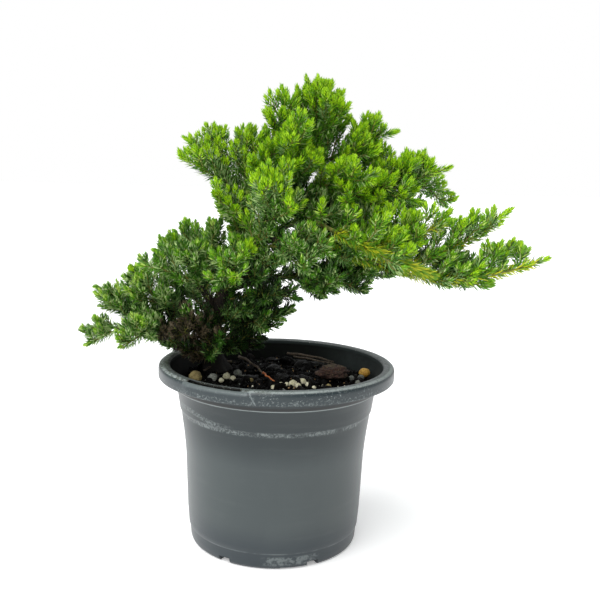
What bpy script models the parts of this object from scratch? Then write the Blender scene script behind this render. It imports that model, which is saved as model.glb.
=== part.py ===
"""A young garden juniper bonsai in its round nursery pot, one object for each real piece.

The tree is a leaning trunk that stands on the potting mix, the boughs that leave it, and masses of
foliage that each grow from one stem. Sizes are in millimetres here and become metres as each piece
is made. +Z is up, +X is towards the long right arm, and the origin is under the middle of the pot.
"""

import math
from collections import namedtuple

import bmesh
import bpy
from mathutils import Vector
from mathutils.bvhtree import BVHTree

MM = 0.001
UP = Vector((0, 0, 1))
CLEAR = 0.3
GOLDEN_TURN = math.radians(137.508)
GOLDEN_SHARE = 0.618034

# The pot, turned about the Z axis
POT_SIDES = 36
RIM_RADIUS = 63.6
RIM_TOP = 97.5
RIM_DROP = 7.0
MOUTH_RADIUS = 57.6
COLLAR_RADIUS = 55.4
COLLAR_FOOT = 85.4
RING_HEIGHT = 73.5
BASE_RADIUS = 45.2
BASE_STEP = 8.2
WALL = 1.4
NOTCHES = 6
NOTCH_WIDTH = 7.0
NOTCH_DEPTH = 4.5
NOTCH_HEIGHT = 2.9
NOTCH_TURN = math.radians(-123)
SLOT_TURN = math.radians(-120.5)
SLOT_WIDTH = 27.0
SLOT_DEPTH = 0.9
SLOT_DROP = 2.6
SLOT_RADIUS = 61.2

# The potting mix and what lies on it
SOIL_LEVEL = 88.0
SOIL_EDGE = 86.2
SOIL_HEAVE = 1.3
SOIL_SIDES = 24
CHUNK_AT = (30, -2)
CHUNK_SIZE = (8.0, 7.5, 4.6)
PELLET_AT = (48.9, 9.9)
PELLET_RADIUS = 3.3

# The trunk is one cubic Bezier from the mix to its tip, and FLARE widens its foot
TRUNK_CURVE = ((-34, 16, 88.3), (-49, 12, 122), (-14, 2, 150), (11, 6, 204))
TRUNK_FOOT = 6.0
TRUNK_TIP = 2.2
FLARE = 4.2
FLARE_HEIGHT = 9.0
ROOT_RIDGES = 5
TRUNK_RINGS = 15
TRUNK_SIDES = 10

# Each bough leaves the trunk at a share of its length and ends at a point, raised by bow halfway
Bough = namedtuple("Bough", "name at end bow foot tip")
BOUGHS = (
    Bough("low_left_bough", 0.11, (-60, 10, 106), -2, 2.5, 1.6),
    Bough("left_bough", 0.34, (-47, -5, 142), 3, 2.7, 1.6),
    Bough("upper_left_bough", 0.62, (-24, -1, 182), -1, 2.6, 1.5),
    Bough("front_bough", 0.54, (-11, -22, 166), -2, 2.4, 1.5),
    Bough("right_bough", 0.86, (36, 3, 191), 2, 2.4, 1.5),
    Bough("arm_bough", 0.72, (62, -34, 152), 3, 3.0, 1.8),
    Bough("under_bough", 0.46, (16, 8, 144), 2, 2.2, 1.4),
    Bough("rear_left_bough", 0.42, (-40, 32, 143), 2, 2.5, 1.5),
    Bough("rear_right_bough", 0.70, (14, 28, 174), 1, 2.5, 1.5),
)
BOUGH_RINGS = 6
BOUGH_SIDES = 6

# Each mass of foliage grows from one stem, which leaves a limb at a share of its length and ends
# at the mass's tip. spread is the mass's half width across that stem, twigs is how many side twigs
# the stem carries, and lift is how far it bows up at its middle, as a share of its length.
STEM_LIFT = 0.10
Mass = namedtuple("Mass", "name limb at tip spread twigs lift", defaults=(STEM_LIFT,))
MASSES = (
    Mass("crown_top", "trunk", 1.0, (25, 5, 246), 18, 8),
    Mass("crown_left", "trunk", 0.86, (1, 0, 239), 13, 8),
    Mass("crown_low_left", "trunk", 0.74, (-7, -26, 214), 11, 6),
    Mass("crown_right", "trunk", 0.94, (60, 5, 222), 15, 7),
    Mass("crown_front", "trunk", 0.82, (12, -36, 222), 14, 5),
    Mass("upper_left_tip", "upper_left_bough", 1.0, (-50, -4, 215), 10, 7),
    Mass("upper_left_top", "upper_left_bough", 0.62, (-40, 6, 222), 11, 6),
    Mass("left_shoulder", "upper_left_bough", 0.36, (-17, 0, 222), 13, 6),
    Mass("upper_left_low", "upper_left_bough", 0.50, (-33, -26, 188), 11, 6),
    Mass("right_shoulder", "right_bough", 1.0, (88, -2, 204), 12, 7),
    Mass("right_low", "right_bough", 0.62, (94, 18, 190), 14, 6),
    Mass("right_mid", "right_bough", 0.56, (70, -18, 186), 13, 6),
    Mass("front_right", "right_bough", 0.30, (44, -42, 196), 14, 6),
    Mass("heart", "front_bough", 1.0, (4, -48, 198), 15, 7),
    Mass("heart_low", "front_bough", 0.80, (25, -46, 161), 14, 6),
    Mass("heart_right", "trunk", 0.79, (34, -22, 183), 12, 6),
    Mass("belly", "front_bough", 0.60, (-28, -40, 150), 14, 7),
    Mass("arm_near", "arm_bough", 0.70, (84, -36, 178), 12, 6, 0.0),
    Mass("arm_fork", "arm_bough", 0.95, (111, -38, 184), 9, 7, -0.14),
    Mass("arm_tip", "arm_bough", 1.0, (131, -38, 161), 11, 7),
    Mass("arm_root", "arm_bough", 0.42, (58, -50, 166), 11, 5),
    Mass("left_mid", "left_bough", 0.62, (-48, -24, 157), 13, 7),
    Mass("left_high", "left_bough", 0.38, (-34, -2, 172), 11, 6),
    Mass("left_front", "left_bough", 1.0, (-72, -14, 150), 13, 8),
    Mass("low_front", "trunk", 0.34, (-12, -14, 125), 10, 6),
    Mass("left_low_tip", "low_left_bough", 1.0, (-105, 0, 113), 11, 8),
    Mass("left_low_top", "low_left_bough", 0.62, (-100, 12, 134), 11, 6),
    Mass("left_low_high", "low_left_bough", 0.42, (-79, 0, 146), 14, 7),
    Mass("left_low_front", "low_left_bough", 0.76, (-78, -28, 118), 12, 6),
    Mass("front_low", "trunk", 0.20, (-50, -24, 123), 12, 7),
    Mass("low_centre", "trunk", 0.27, (3, -8, 122), 11, 6),
    Mass("low_inner", "trunk", 0.40, (11, -18, 135), 12, 6),
    Mass("under_right", "under_bough", 1.0, (60, 6, 145), 13, 6),
    Mass("under_mid", "under_bough", 0.72, (31, -20, 143), 12, 5),
    Mass("rear_mid", "trunk", 0.60, (-24, 48, 178), 15, 5),
    Mass("rear_top", "trunk", 0.90, (14, 44, 215), 16, 6),
    Mass("rear_right", "rear_right_bough", 1.0, (52, 52, 184), 18, 6),
    Mass("rear_left", "rear_left_bough", 1.0, (-66, 50, 158), 18, 6),
    Mass("rear_low", "rear_left_bough", 0.50, (-18, 54, 136), 16, 4),
    Mass("foot_tuft", "trunk", 0.05, (-50, -11, 105), 7, 4),
    Mass("front_foot", "trunk", 0.15, (-29, -24, 112), 11, 6),
    Mass("right_foot", "trunk", 0.13, (-7, 0, 110), 11, 6),
    Mass("inner_right", "arm_bough", 0.22, (47, -12, 172), 11, 5),
    Mass("arm_skirt", "arm_bough", 0.34, (66, -26, 149), 11, 5),
    Mass("left_back", "trunk", 0.30, (-66, 20, 142), 13, 6),
    Mass("front_inner", "trunk", 0.47, (2, -28, 155), 11, 6),
)

# The growth rule: how twigs leave a stem and forks leave a twig
EGG_MIDDLE = 0.53
EGG_REACH = 0.60
STEM_RADIUS = 1.3
STEM_BARES = (0.22, 0.32, 0.42, 0.55)
TWIG_FIRST = 0.14
TWIG_SPAN = 0.80
TWIG_PITCH = math.radians(50)
TWIG_LIFT = 0.38
TWIG_LONGEST = 34.0
TWIG_SHORTEST = 9.0
TWIG_RADIUS = 0.9
TWIG_BARE = 0.24
FORK_AT = 0.36
FORK_TURN = math.radians(42)
FORK_SHORTEST = 9.0
SCALES = (1.0, 0.8, 0.62)
SWINGS = (0, 0.5, -0.5, 1.0, -1.0, 1.6, -1.6)
TRIES = tuple((scale, swing) for scale in SCALES for swing in SWINGS)
CROWDED = 5.4
FORKED = 2
SHARED = 0.45

# The needles: whorls of three, larger than life, each whorl turned by a sixth from the last
WHORL_PITCH = 7.5
NEEDLE_REACH = 6.4
NEEDLE_RISE = 4.6
NEEDLE_SLIM = 0.32
CORE_SHARE = 2.4

SHARP = math.radians(40)

COLOURS = {
    "pot_plastic": ((0.10, 0.115, 0.12), 0.55),
    "potting_mix": ((0.022, 0.016, 0.012), 0.95),
    "lava_stone": ((0.10, 0.045, 0.03), 0.9),
    "pellet": ((0.55, 0.30, 0.04), 0.6),
    "bark": ((0.12, 0.075, 0.05), 0.9),
    "needles": ((0.10, 0.22, 0.03), 0.6),
}


def clear_scene():
    for thing in list(bpy.data.objects):
        bpy.data.objects.remove(thing, do_unlink=True)


def collection(name, helper=False):
    made = bpy.data.collections.new(name)
    bpy.context.scene.collection.children.link(made)
    made.hide_render = helper
    return made


def material(name):
    if name in bpy.data.materials:
        return bpy.data.materials[name]
    colour, roughness = COLOURS[name]
    made = bpy.data.materials.new(name)
    made.use_nodes = True
    shader = made.node_tree.nodes["Principled BSDF"]
    shader.inputs["Base Color"].default_value = (*colour, 1)
    shader.inputs["Roughness"].default_value = roughness
    shader.inputs["Metallic"].default_value = 0
    return made


def new_object(name, mesh, where, finish=None):
    made = bpy.data.objects.new(name, mesh)
    where.objects.link(made)
    if finish:
        mesh.materials.append(material(finish))
    return made


def new_mesh(name, points, faces=(), edges=()):
    """A mesh of these points, given in millimetres and stored in metres."""
    mesh = bpy.data.meshes.new(name)
    mesh.from_pydata([Vector(point) * MM for point in points], edges, faces)
    mesh.update()
    return mesh


def smooth(mesh):
    """Shades a rounded mesh smooth, with its real corners kept sharp."""
    mesh.shade_smooth()
    mesh.set_sharp_from_angle(angle=SHARP)
    return mesh


def applied(thing):
    """Puts the evaluated mesh in place of the object's own, with no modifier left."""
    graph = bpy.context.evaluated_depsgraph_get()
    mesh = bpy.data.meshes.new_from_object(thing.evaluated_get(graph))
    thing.modifiers.clear()
    thing.data = mesh
    return thing


def boolean(thing, operation, other):
    cut = thing.modifiers.new(operation.lower(), "BOOLEAN")
    cut.operation = operation
    cut.solver = "EXACT"
    if isinstance(other, bpy.types.Collection):
        cut.operand_type = "COLLECTION"
        cut.collection = other
    else:
        cut.object = other
    return cut


def turned(name, profile, where, finish, sides):
    """A solid of revolution about Z: profile runs from the axis back to the axis, as (radius, height)."""
    points = [(radius, 0, height) for radius, height in profile]
    edges = [(step, step + 1) for step in range(len(points) - 1)]
    thing = new_object(name, new_mesh(name, points, edges=edges), where, finish)
    screw = thing.modifiers.new("turn", "SCREW")
    screw.steps = screw.render_steps = sides
    screw.use_merge_vertices = True
    screw.merge_threshold = 1e-5
    screw.use_normal_calculate = True
    return thing


def wall_radius(height):
    """The pot's outer wall below its collar: a steep cup under a slightly wider band."""
    stations = (
        (0.0, BASE_RADIUS),
        (BASE_STEP, BASE_RADIUS + 1.5),
        (20.0, BASE_RADIUS + 2.4),
        (45.0, BASE_RADIUS + 3.4),
        (60.0, BASE_RADIUS + 4.6),
        (RING_HEIGHT - 1.0, BASE_RADIUS + 6.0),
        (RING_HEIGHT, BASE_RADIUS + 6.8),
        (COLLAR_FOOT, BASE_RADIUS + 8.2),
    )
    for (low, inner), (high, outer) in zip(stations, stations[1:]):
        if height <= high:
            return inner + (outer - inner) * (height - low) / (high - low)
    return stations[-1][1]


def pot_profile():
    floor = WALL
    skirt = RIM_TOP - RIM_DROP
    inside = [
        (0, floor),
        (wall_radius(floor) - WALL - 0.6, floor),
        (wall_radius(60) - WALL, 60),
        (COLLAR_RADIUS - WALL, skirt),
        (MOUTH_RADIUS, RIM_TOP - 0.8),
        (MOUTH_RADIUS + 1.0, RIM_TOP),
    ]
    rim = [
        (RIM_RADIUS - 1.2, RIM_TOP),
        (RIM_RADIUS, RIM_TOP - 1.5),
        (RIM_RADIUS, skirt),
        (RIM_RADIUS - WALL, skirt),
        (RIM_RADIUS - WALL, RIM_TOP - 1.8),
        (COLLAR_RADIUS + 0.6, RIM_TOP - 2.6),
        (COLLAR_RADIUS, COLLAR_FOOT),
    ]
    outside = [
        (wall_radius(height), height)
        for height in (COLLAR_FOOT - 0.6, RING_HEIGHT, RING_HEIGHT - 1, 45, BASE_STEP)
    ]
    return inside + rim + outside + [(BASE_RADIUS, 0.6), (BASE_RADIUS - 0.6, 0), (0, 0)]


def box_cutter(name, size, place, turn, where):
    bm = bmesh.new()
    bmesh.ops.create_cube(bm, size=1)
    bmesh.ops.scale(bm, vec=Vector(size) * MM, verts=bm.verts)
    mesh = bpy.data.meshes.new(name)
    bm.to_mesh(mesh)
    bm.free()
    cutter = new_object(name, mesh, where)
    cutter.location = Vector(place) * MM
    cutter.rotation_euler = (0, 0, turn)
    cutter.hide_render = True
    cutter.display_type = "WIRE"
    return cutter


def make_pot(where, cutters):
    """The turned pot, with drain notches where floor meets wall and the tag slot in the rim's top."""
    pot = turned("pot", pot_profile(), where, "pot_plastic", POT_SIDES)
    for count in range(NOTCHES):
        turn = NOTCH_TURN + count * math.tau / NOTCHES
        place = (BASE_RADIUS * math.cos(turn), BASE_RADIUS * math.sin(turn), 0)
        size = (2 * NOTCH_DEPTH, NOTCH_WIDTH, 2 * NOTCH_HEIGHT)
        boolean(pot, "DIFFERENCE", box_cutter(f"notch_{count}", size, place, turn, cutters))
    place = (SLOT_RADIUS * math.cos(SLOT_TURN), SLOT_RADIUS * math.sin(SLOT_TURN), RIM_TOP)
    size = (SLOT_DEPTH, SLOT_WIDTH, 2 * SLOT_DROP)
    boolean(pot, "DIFFERENCE", box_cutter("slot", size, place, SLOT_TURN, cutters))
    return pot


def soil_height(x, y):
    """The mix's surface: level round the trunk, gently heaved elsewhere and lower at the wall."""
    from_trunk = math.hypot(x - TRUNK_CURVE[0][0], y - TRUNK_CURVE[0][1])
    level = min(1, max(0, (from_trunk - 14) / 10))
    heave = math.sin(x * 0.21 + 1.3) * math.cos(y * 0.17 - 0.4) + 0.5 * math.sin((x + y) * 0.33)
    edge = max(0, math.hypot(x, y) - 40) / 11
    return SOIL_LEVEL + level * SOIL_HEAVE * heave * (1 - edge) - (SOIL_LEVEL - SOIL_EDGE) * level * edge


def make_soil(where):
    """The potting mix fills the pot to a little under its rim, clear of the wall all round."""
    gap = CLEAR + WALL + 0.3
    floor = WALL + CLEAR
    rings = (0, 14, 27, 40)
    brim = wall_radius(SOIL_EDGE) - gap - 0.4
    wall = ((RING_HEIGHT, 1.4), (45, 0.6))
    profile = [(0, floor), (wall_radius(floor) - gap - 0.9, floor)]
    profile += [(wall_radius(height) - gap - inset, height) for height, inset in reversed(wall)]
    profile += [(brim, SOIL_EDGE)]
    profile += [(radius, SOIL_LEVEL) for radius in reversed(rings)]
    soil = applied(turned("potting_mix", profile, where, "potting_mix", SOIL_SIDES))
    for vertex in soil.data.vertices:
        if vertex.co.z > (SOIL_EDGE - 1) * MM:
            x, y = vertex.co.x / MM, vertex.co.y / MM
            vertex.co.z = soil_height(x, y) * MM
    return soil


def lump(name, place, size, finish, roughen, where):
    """A rounded lump that rests just clear of the mix at (x, y), its foot cut level."""
    bm = bmesh.new()
    bmesh.ops.create_icosphere(bm, subdivisions=2, radius=1)
    for vertex in bm.verts:
        x, y, z = vertex.co
        swell = 1 + roughen * math.sin(5.1 * x + 2) * math.sin(4.3 * y) * math.cos(3.7 * z)
        low = max(z * swell, -0.55)
        vertex.co = Vector((x * swell * size[0], y * swell * size[1], low * size[2])) * MM
    mesh = bpy.data.meshes.new(name)
    bm.to_mesh(mesh)
    bm.free()
    thing = new_object(name, smooth(mesh), where, finish)
    x, y = place
    foot = max(
        soil_height(x + size[0] * math.cos(turn), y + size[1] * math.sin(turn))
        for turn in (math.tau * step / 12 for step in range(12))
    )
    thing.location = Vector((x, y, foot + 0.55 * size[2] + CLEAR)) * MM
    return thing


def bezier(points, share):
    """A point on the Bezier curve of any order through these control points."""
    points = [Vector(point) for point in points]
    while len(points) > 1:
        points = [one.lerp(two, share) for one, two in zip(points, points[1:])]
    return points[0]


def bough_curve(bough):
    start = bezier(TRUNK_CURVE, bough.at)
    end = Vector(bough.end)
    return start, start.lerp(end, 0.5) + UP * 2 * bough.bow, end


def limb_table():
    """Every limb's control points, its radii at foot and tip, and its name."""
    limbs = {"trunk": (TRUNK_CURVE, TRUNK_FOOT, TRUNK_TIP)}
    for bough in BOUGHS:
        limbs[bough.name] = (bough_curve(bough), bough.foot, bough.tip)
    return limbs


LIMBS = limb_table()


def limb_radius(name, share):
    _, foot, tip = LIMBS[name]
    return foot + (tip - foot) * share


def tangent(points, share):
    step = 0.01
    ahead = bezier(points, min(1, share + step))
    behind = bezier(points, max(0, share - step))
    return (ahead - behind).normalized()


def ring_frame(direction):
    """Two unit vectors across a direction, which turn steadily as it does."""
    side = direction.cross(Vector((0.3, 1, 0.2))).normalized()
    return side, direction.cross(side).normalized()


def loft(rings):
    """The points and faces of a closed skin over rings with as many points each."""
    points = [point for ring in rings for point in ring]
    count = len(rings[0])
    faces = [tuple(reversed(range(count)))]
    for level in range(len(rings) - 1):
        low, high = level * count, (level + 1) * count
        for i in range(count):
            j = (i + 1) % count
            faces.append((low + i, low + j, high + j, high + i))
    faces.append(tuple(range(len(points) - count, len(points))))
    return points, faces


def circle(centre, direction, radius, sides):
    side, over = ring_frame(direction)
    turns = [math.tau * step / sides for step in range(sides)]
    return [centre + radius * (math.cos(turn) * side + math.sin(turn) * over) for turn in turns]


def make_trunk(where, grow=0.0, name="trunk"):
    """The trunk from its level cut on the mix, with root ridges that die out up its foot."""
    start = TRUNK_CURVE[0][2]
    rings = []
    for step in range(TRUNK_RINGS):
        share = (step / (TRUNK_RINGS - 1)) ** 1.25
        centre = bezier(TRUNK_CURVE, share)
        lean = UP.lerp(tangent(TRUNK_CURVE, share), min(1, share * 6)).normalized()
        spread = FLARE * math.exp(-(centre.z - start) / FLARE_HEIGHT * 2)
        ring = []
        for number, point in enumerate(circle(centre, lean, 1, TRUNK_SIDES)):
            ridge = 0.5 + 0.5 * math.cos(ROOT_RIDGES * math.tau * number / TRUNK_SIDES + 0.6)
            radius = limb_radius("trunk", share) + spread * (0.45 + 0.55 * ridge) + grow
            ring.append(centre + (point - centre) * radius)
        rings.append(ring)
    return new_object(name, smooth(new_mesh(name, *loft(rings))), where, "bark")


def limb_curve(name, points, radii, where, sides, finish, rings):
    """A tapering limb: a curve along the points with a round bevel, made a mesh with welded caps."""
    data = bpy.data.curves.new(name, "CURVE")
    data.dimensions = "3D"
    data.bevel_depth = MM
    data.bevel_resolution = (sides - 4) // 2
    data.use_fill_caps = True
    spline = data.splines.new("POLY")
    spline.points.add(rings - 1)
    for step, knot in enumerate(spline.points):
        share = step / (rings - 1)
        knot.co = (*(bezier(points, share) * MM), 1)
        knot.radius = radii[0] + (radii[1] - radii[0]) * share
    drawn = bpy.data.objects.new(name + "_line", data)
    where.objects.link(drawn)
    graph = bpy.context.evaluated_depsgraph_get()
    mesh = bpy.data.meshes.new_from_object(drawn.evaluated_get(graph))
    bpy.data.objects.remove(drawn)
    bm = bmesh.new()
    bm.from_mesh(mesh)
    bmesh.ops.remove_doubles(bm, verts=bm.verts, dist=1e-6)
    bmesh.ops.recalc_face_normals(bm, faces=bm.faces)
    bm.to_mesh(mesh)
    bm.free()
    mesh.name = name
    mesh.materials.clear()
    return new_object(name, mesh, where, finish)


def make_bough(bough, where, trunk_cutter):
    """A bough from the trunk's middle to its end, then cut back to just clear of the trunk."""
    points, foot, tip = LIMBS[bough.name]
    made = limb_curve(bough.name, points, (foot, tip), where, BOUGH_SIDES, "bark", BOUGH_RINGS)
    boolean(made, "DIFFERENCE", trunk_cutter)
    return largest_body(applied(made))


def limb_cutters(where):
    """Each limb a little fatter than life, for cutting what meets it just clear."""
    cutters = {"trunk": make_trunk(where, CLEAR, "clear_of_trunk")}
    for bough in BOUGHS:
        points, foot, tip = LIMBS[bough.name]
        radii = (foot + CLEAR, tip + CLEAR)
        cutters[bough.name] = limb_curve(
            "clear_of_" + bough.name, points, radii, where, BOUGH_SIDES, "bark", BOUGH_RINGS
        )
    for cutter in cutters.values():
        cutter.hide_render = True
        cutter.display_type = "WIRE"
    return cutters


def largest_body(thing):
    """Drops the loose scraps and sealed hollows that a Boolean leaves, keeping the one outer skin."""
    bm = bmesh.new()
    bm.from_mesh(thing.data)
    left = set(bm.verts)
    bodies = []
    while left:
        reached = {left.pop()}
        edge = list(reached)
        while edge:
            vertex = edge.pop()
            for link in vertex.link_edges:
                other = link.other_vert(vertex)
                if other in left:
                    left.remove(other)
                    reached.add(other)
                    edge.append(other)
        bodies.append(reached)
    bodies.sort(key=len)
    for scrap in bodies[:-1]:
        bmesh.ops.delete(bm, geom=list(scrap), context="VERTS")
    bm.to_mesh(thing.data)
    bm.free()
    return thing


def wobble(*keys):
    """A steady pseudo-random number from -1 to 1 for these keys."""
    mixed = sum((position + 1) * 12.9898 * key for position, key in enumerate(keys)) + 4.137
    return 2 * ((math.sin(mixed) * 43758.5453) % 1) - 1


def stem_curve(mass):
    """The stem's control points, from the middle of its limb to the mass's tip."""
    points = LIMBS[mass.limb][0]
    root = bezier(points, mass.at)
    tip = Vector(mass.tip)
    if mass.at == 1:
        root += tangent(points, 1) * CLEAR
        return root, root + tangent(points, 1) * 0.4 * (tip - root).length, tip
    return root, root.lerp(tip, 0.5) + UP * mass.lift * (tip - root).length, tip


def depth_in(mass, point):
    """How far out a point is in a mass's egg-shaped space: 0 in its middle and 1 at its skin."""
    root, _, tip = stem_curve(mass)
    axis = tip - root
    along = (point - root).dot(axis) / axis.length_squared
    across = (point - root - along * axis).length
    return math.hypot((along - EGG_MIDDLE) / EGG_REACH, across / mass.spread)


def own_space(mass, point):
    """Whether a point lies in this mass's space and no nearer the middle of another's."""
    mine = depth_in(mass, point)
    if mine > 1:
        return False
    return all(mine <= depth_in(other, point) + SHARED for other in MASSES if other is not mass)


def way_out(mass, start, direction, longest):
    """How far one can go from start before leaving the mass's egg."""
    step = 1.0
    reach = 0.0
    while reach < longest and depth_in(mass, start + direction * (reach + step)) < 1:
        reach += step
    return reach


Spray = namedtuple("Spray", "line radius bare turn")


def straight(start, end):
    return [start, start.lerp(end, 0.5), end]


def length_of(line):
    steps = [bezier(line, step / 8) for step in range(9)]
    return sum((two - one).length for one, two in zip(steps, steps[1:]))


def whorls(spray):
    """Where each whorl of needles sits along a spray, as (share of its length, reach of its needles)."""
    length = length_of(spray.line)
    count = max(2, round(length * (1 - spray.bare) / WHORL_PITCH))
    found = []
    for number in range(count):
        share = spray.bare + (1 - spray.bare) * (number + 0.3) / (count + 0.25)
        slim = 1 - NEEDLE_SLIM * number / count
        found.append((share, NEEDLE_REACH * slim, NEEDLE_RISE * slim / length))
    return found


def across(spray, share, step, radius):
    """The point this far out from a spray's line, at one of six turns round it."""
    forward = tangent(spray.line, share)
    side, over = ring_frame(forward)
    turn = spray.turn + math.tau * step / 6
    return bezier(spray.line, share) + radius * (math.cos(turn) * side + math.sin(turn) * over)


def spray_shape(spray, grow=0.0):
    """A three-sided twig whose outer part stands out in whorls of spikes, and ends in one."""
    points = []
    for share in (0, spray.bare * 0.8):
        points += [across(spray, share, step, spray.radius + grow) for step in (0, 2, 4)]
    faces = [(2, 1, 0)]
    for i in range(3):
        j = (i + 1) % 3
        neck, left, spike, right = 3 + i, 6 + (2 * i - 1) % 6, 6 + 2 * i, 7 + 2 * i
        faces += [(i, j, 3 + j), (i, 3 + j, neck)]
        faces += [(neck, spike, left), (neck, right, spike), (neck, 3 + j, right)]
    tiers = whorls(spray)
    for number, (share, reach, rise) in enumerate(tiers):
        core = spray.radius * CORE_SHARE * (1 - 0.35 * number / len(tiers)) + grow
        for step in range(6):
            if (step + number) % 2:
                points.append(across(spray, share, step, core))
            else:
                points.append(across(spray, min(0.98, share + rise), step, reach + grow))
    for number in range(len(tiers) - 1):
        low, high = 6 + 6 * number, 12 + 6 * number
        for i in range(6):
            j = (i + 1) % 6
            if (i + number) % 2:
                faces += [(low + i, low + j, high + j), (low + i, high + j, high + i)]
            else:
                faces += [(low + i, low + j, high + i), (low + j, high + j, high + i)]
    last, tip = len(points) - 6, len(points)
    points.append(spray.line[-1] + grow * tangent(spray.line, 1))
    faces += [(last + i, last + (i + 1) % 6, tip) for i in range(6)]
    return points, faces


class Space:
    """The shapes of every limb and spray placed so far, so that a new spray stays off them."""

    def __init__(self):
        self.placed = []

    def bounds(self, shape):
        middle = sum(shape[0], Vector()) / len(shape[0])
        return middle, max((point - middle).length for point in shape[0])

    def add(self, owner, shape, line=None):
        self.placed.append((owner, *self.bounds(shape), BVHTree.FromPolygons(*shape), line))

    def touched(self, spray):
        """The names of what a spray with its clearance would touch."""
        shape = spray_shape(spray, CLEAR)
        middle, reach = self.bounds(shape)
        tree = BVHTree.FromPolygons(*shape)
        near = [other for other in self.placed if (middle - other[1]).length < reach + other[2]]
        return {owner for owner, _, _, placed, _ in near if tree.overlap(placed)}

    def crowded(self, owner, spray):
        """Whether a spray's outer part comes too near another of the same mass."""
        lines = [line for other, _, _, _, line in self.placed if other == owner]
        return any(nearest(spray.line, line) < CROWDED for line in lines)


def nearest(line, other):
    """How near the outer part of one line comes to the outer part of another."""
    mine = [bezier(line, share) for share in (0.5, 0.75, 1)]
    return min((one - bezier(other, step / 8)).length for one in mine for step in range(2, 9))


def over_the_pot(spray):
    """Whether a spray is clear of the pot's rim and of the mix inside it."""
    for point in spray_shape(spray, CLEAR)[0]:
        out = math.hypot(point.x, point.y)
        over_mix = out < MOUTH_RADIUS - 4 and point.z > SOIL_LEVEL + SOIL_HEAVE + 0.6
        if not (point.z > RIM_TOP + 0.6 or over_mix or out > RIM_RADIUS + 0.6):
            return False
    return True


def stem_spray(mass, space):
    """The stem of a mass, its foot left bare for as far as needles would touch what is near."""
    line = stem_curve(mass)
    for bare in STEM_BARES:
        stem = Spray(line, STEM_RADIUS, bare, 0.0)
        outer = [bezier(line, bare), line[1].lerp(line[2], bare), line[2]]
        near = space.touched(stem) - {mass.limb} | space.touched(Spray(outer, STEM_RADIUS, 0.02, 0.0))
        if not near:
            break
    return stem


def twig_spray(mass, number, scale, swing):
    """The side twig of this number, by the golden angle, as long as the mass's space lets it be."""
    stem = stem_curve(mass)
    share = TWIG_FIRST + TWIG_SPAN * ((number + 1) * GOLDEN_SHARE % 1)
    foot = bezier(stem, share)
    forward = tangent(stem, share)
    side, over = ring_frame(forward)
    turn = number * GOLDEN_TURN + 0.35 * wobble(number, mass.spread) + swing
    out = math.cos(turn) * side + math.sin(turn) * over
    lean = math.cos(TWIG_PITCH) * forward + math.sin(TWIG_PITCH) * out + TWIG_LIFT * UP
    lean.normalize()
    length = scale * way_out(mass, foot, lean, TWIG_LONGEST)
    if length < TWIG_SHORTEST:
        return None
    end = foot + lean * length
    middle = foot.lerp(end, 0.5) - UP * 0.06 * length
    return Spray([foot, middle, end], TWIG_RADIUS, TWIG_BARE, turn)


def fork_spray(mass, twig, number, scale, swing):
    """A side shoot of a twig, to one side and then the other as the twigs go round."""
    foot = bezier(twig.line, FORK_AT)
    forward = tangent(twig.line, FORK_AT)
    side, over = ring_frame(forward)
    turn = number * 2.4 + swing
    out = math.cos(turn) * side + math.sin(turn) * over
    lean = (math.cos(FORK_TURN) * forward + math.sin(FORK_TURN) * out + 0.2 * UP).normalized()
    length = scale * min(0.7 * length_of(twig.line), way_out(mass, foot, lean, TWIG_LONGEST))
    if length < FORK_SHORTEST:
        return None
    return Spray(straight(foot, foot + lean * length), TWIG_RADIUS * 0.9, TWIG_BARE, turn)


def settle(mass, space, offer):
    """The first of the tries that keeps to the mass's space and clear of everything else."""
    for scale, swing in TRIES:
        spray = offer(scale, swing)
        if not spray or not own_space(mass, spray.line[-1]) or not over_the_pot(spray):
            continue
        if space.touched(spray) <= {mass.name} and not space.crowded(mass.name, spray):
            space.add(mass.name, spray_shape(spray), spray.line)
            return spray
    return None


def sleeve(name):
    """The shape of a limb with its clearance round it."""
    points = LIMBS[name][0]
    shares = [step / 10 for step in range(11)]
    return loft([
        circle(bezier(points, share), tangent(points, share), limb_radius(name, share) + CLEAR, 8)
        for share in shares
    ])


def choose():
    """Every mass's stem, twigs and forks, each kept off the limbs and the other masses."""
    space = Space()
    for name in LIMBS:
        space.add(name, sleeve(name))
    kept = {}
    for mass in MASSES:
        stem = stem_spray(mass, space)
        kept[mass.name] = [stem]
        space.add(mass.name, spray_shape(stem), stem.line)
    for number in range(max(mass.twigs for mass in MASSES)):
        for mass in MASSES:
            if number < mass.twigs:
                twig = settle(mass, space, lambda scale, swing: twig_spray(mass, number, scale, swing))
                if twig:
                    kept[mass.name].append(twig)
    for mass in MASSES:
        for number, twig in enumerate(kept[mass.name][1 : 1 + FORKED]):
            fork = settle(mass, space, lambda scale, swing: fork_spray(mass, twig, number, scale, swing))
            if fork:
                kept[mass.name].append(fork)
    return kept


def fused(name, pieces, where, scratch):
    """One Boolean union of all the pieces' meshes, kept as a single body."""
    first = new_object(name, pieces[0], where, "needles")
    rest = [new_object(f"{name}_{i}", mesh, scratch) for i, mesh in enumerate(pieces[1:])]
    boolean(first, "UNION", scratch)
    applied(first)
    for thing in rest:
        bpy.data.objects.remove(thing)
    return largest_body(first)


def make_mass(mass, sprays, where, scratch, cutters):
    pieces = [new_mesh(mass.name, *spray_shape(spray)) for spray in sprays]
    made = fused(mass.name, pieces, where, scratch)
    if mass.at < 1:
        boolean(made, "DIFFERENCE", cutters[mass.limb])
        largest_body(applied(made))
    return made


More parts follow.
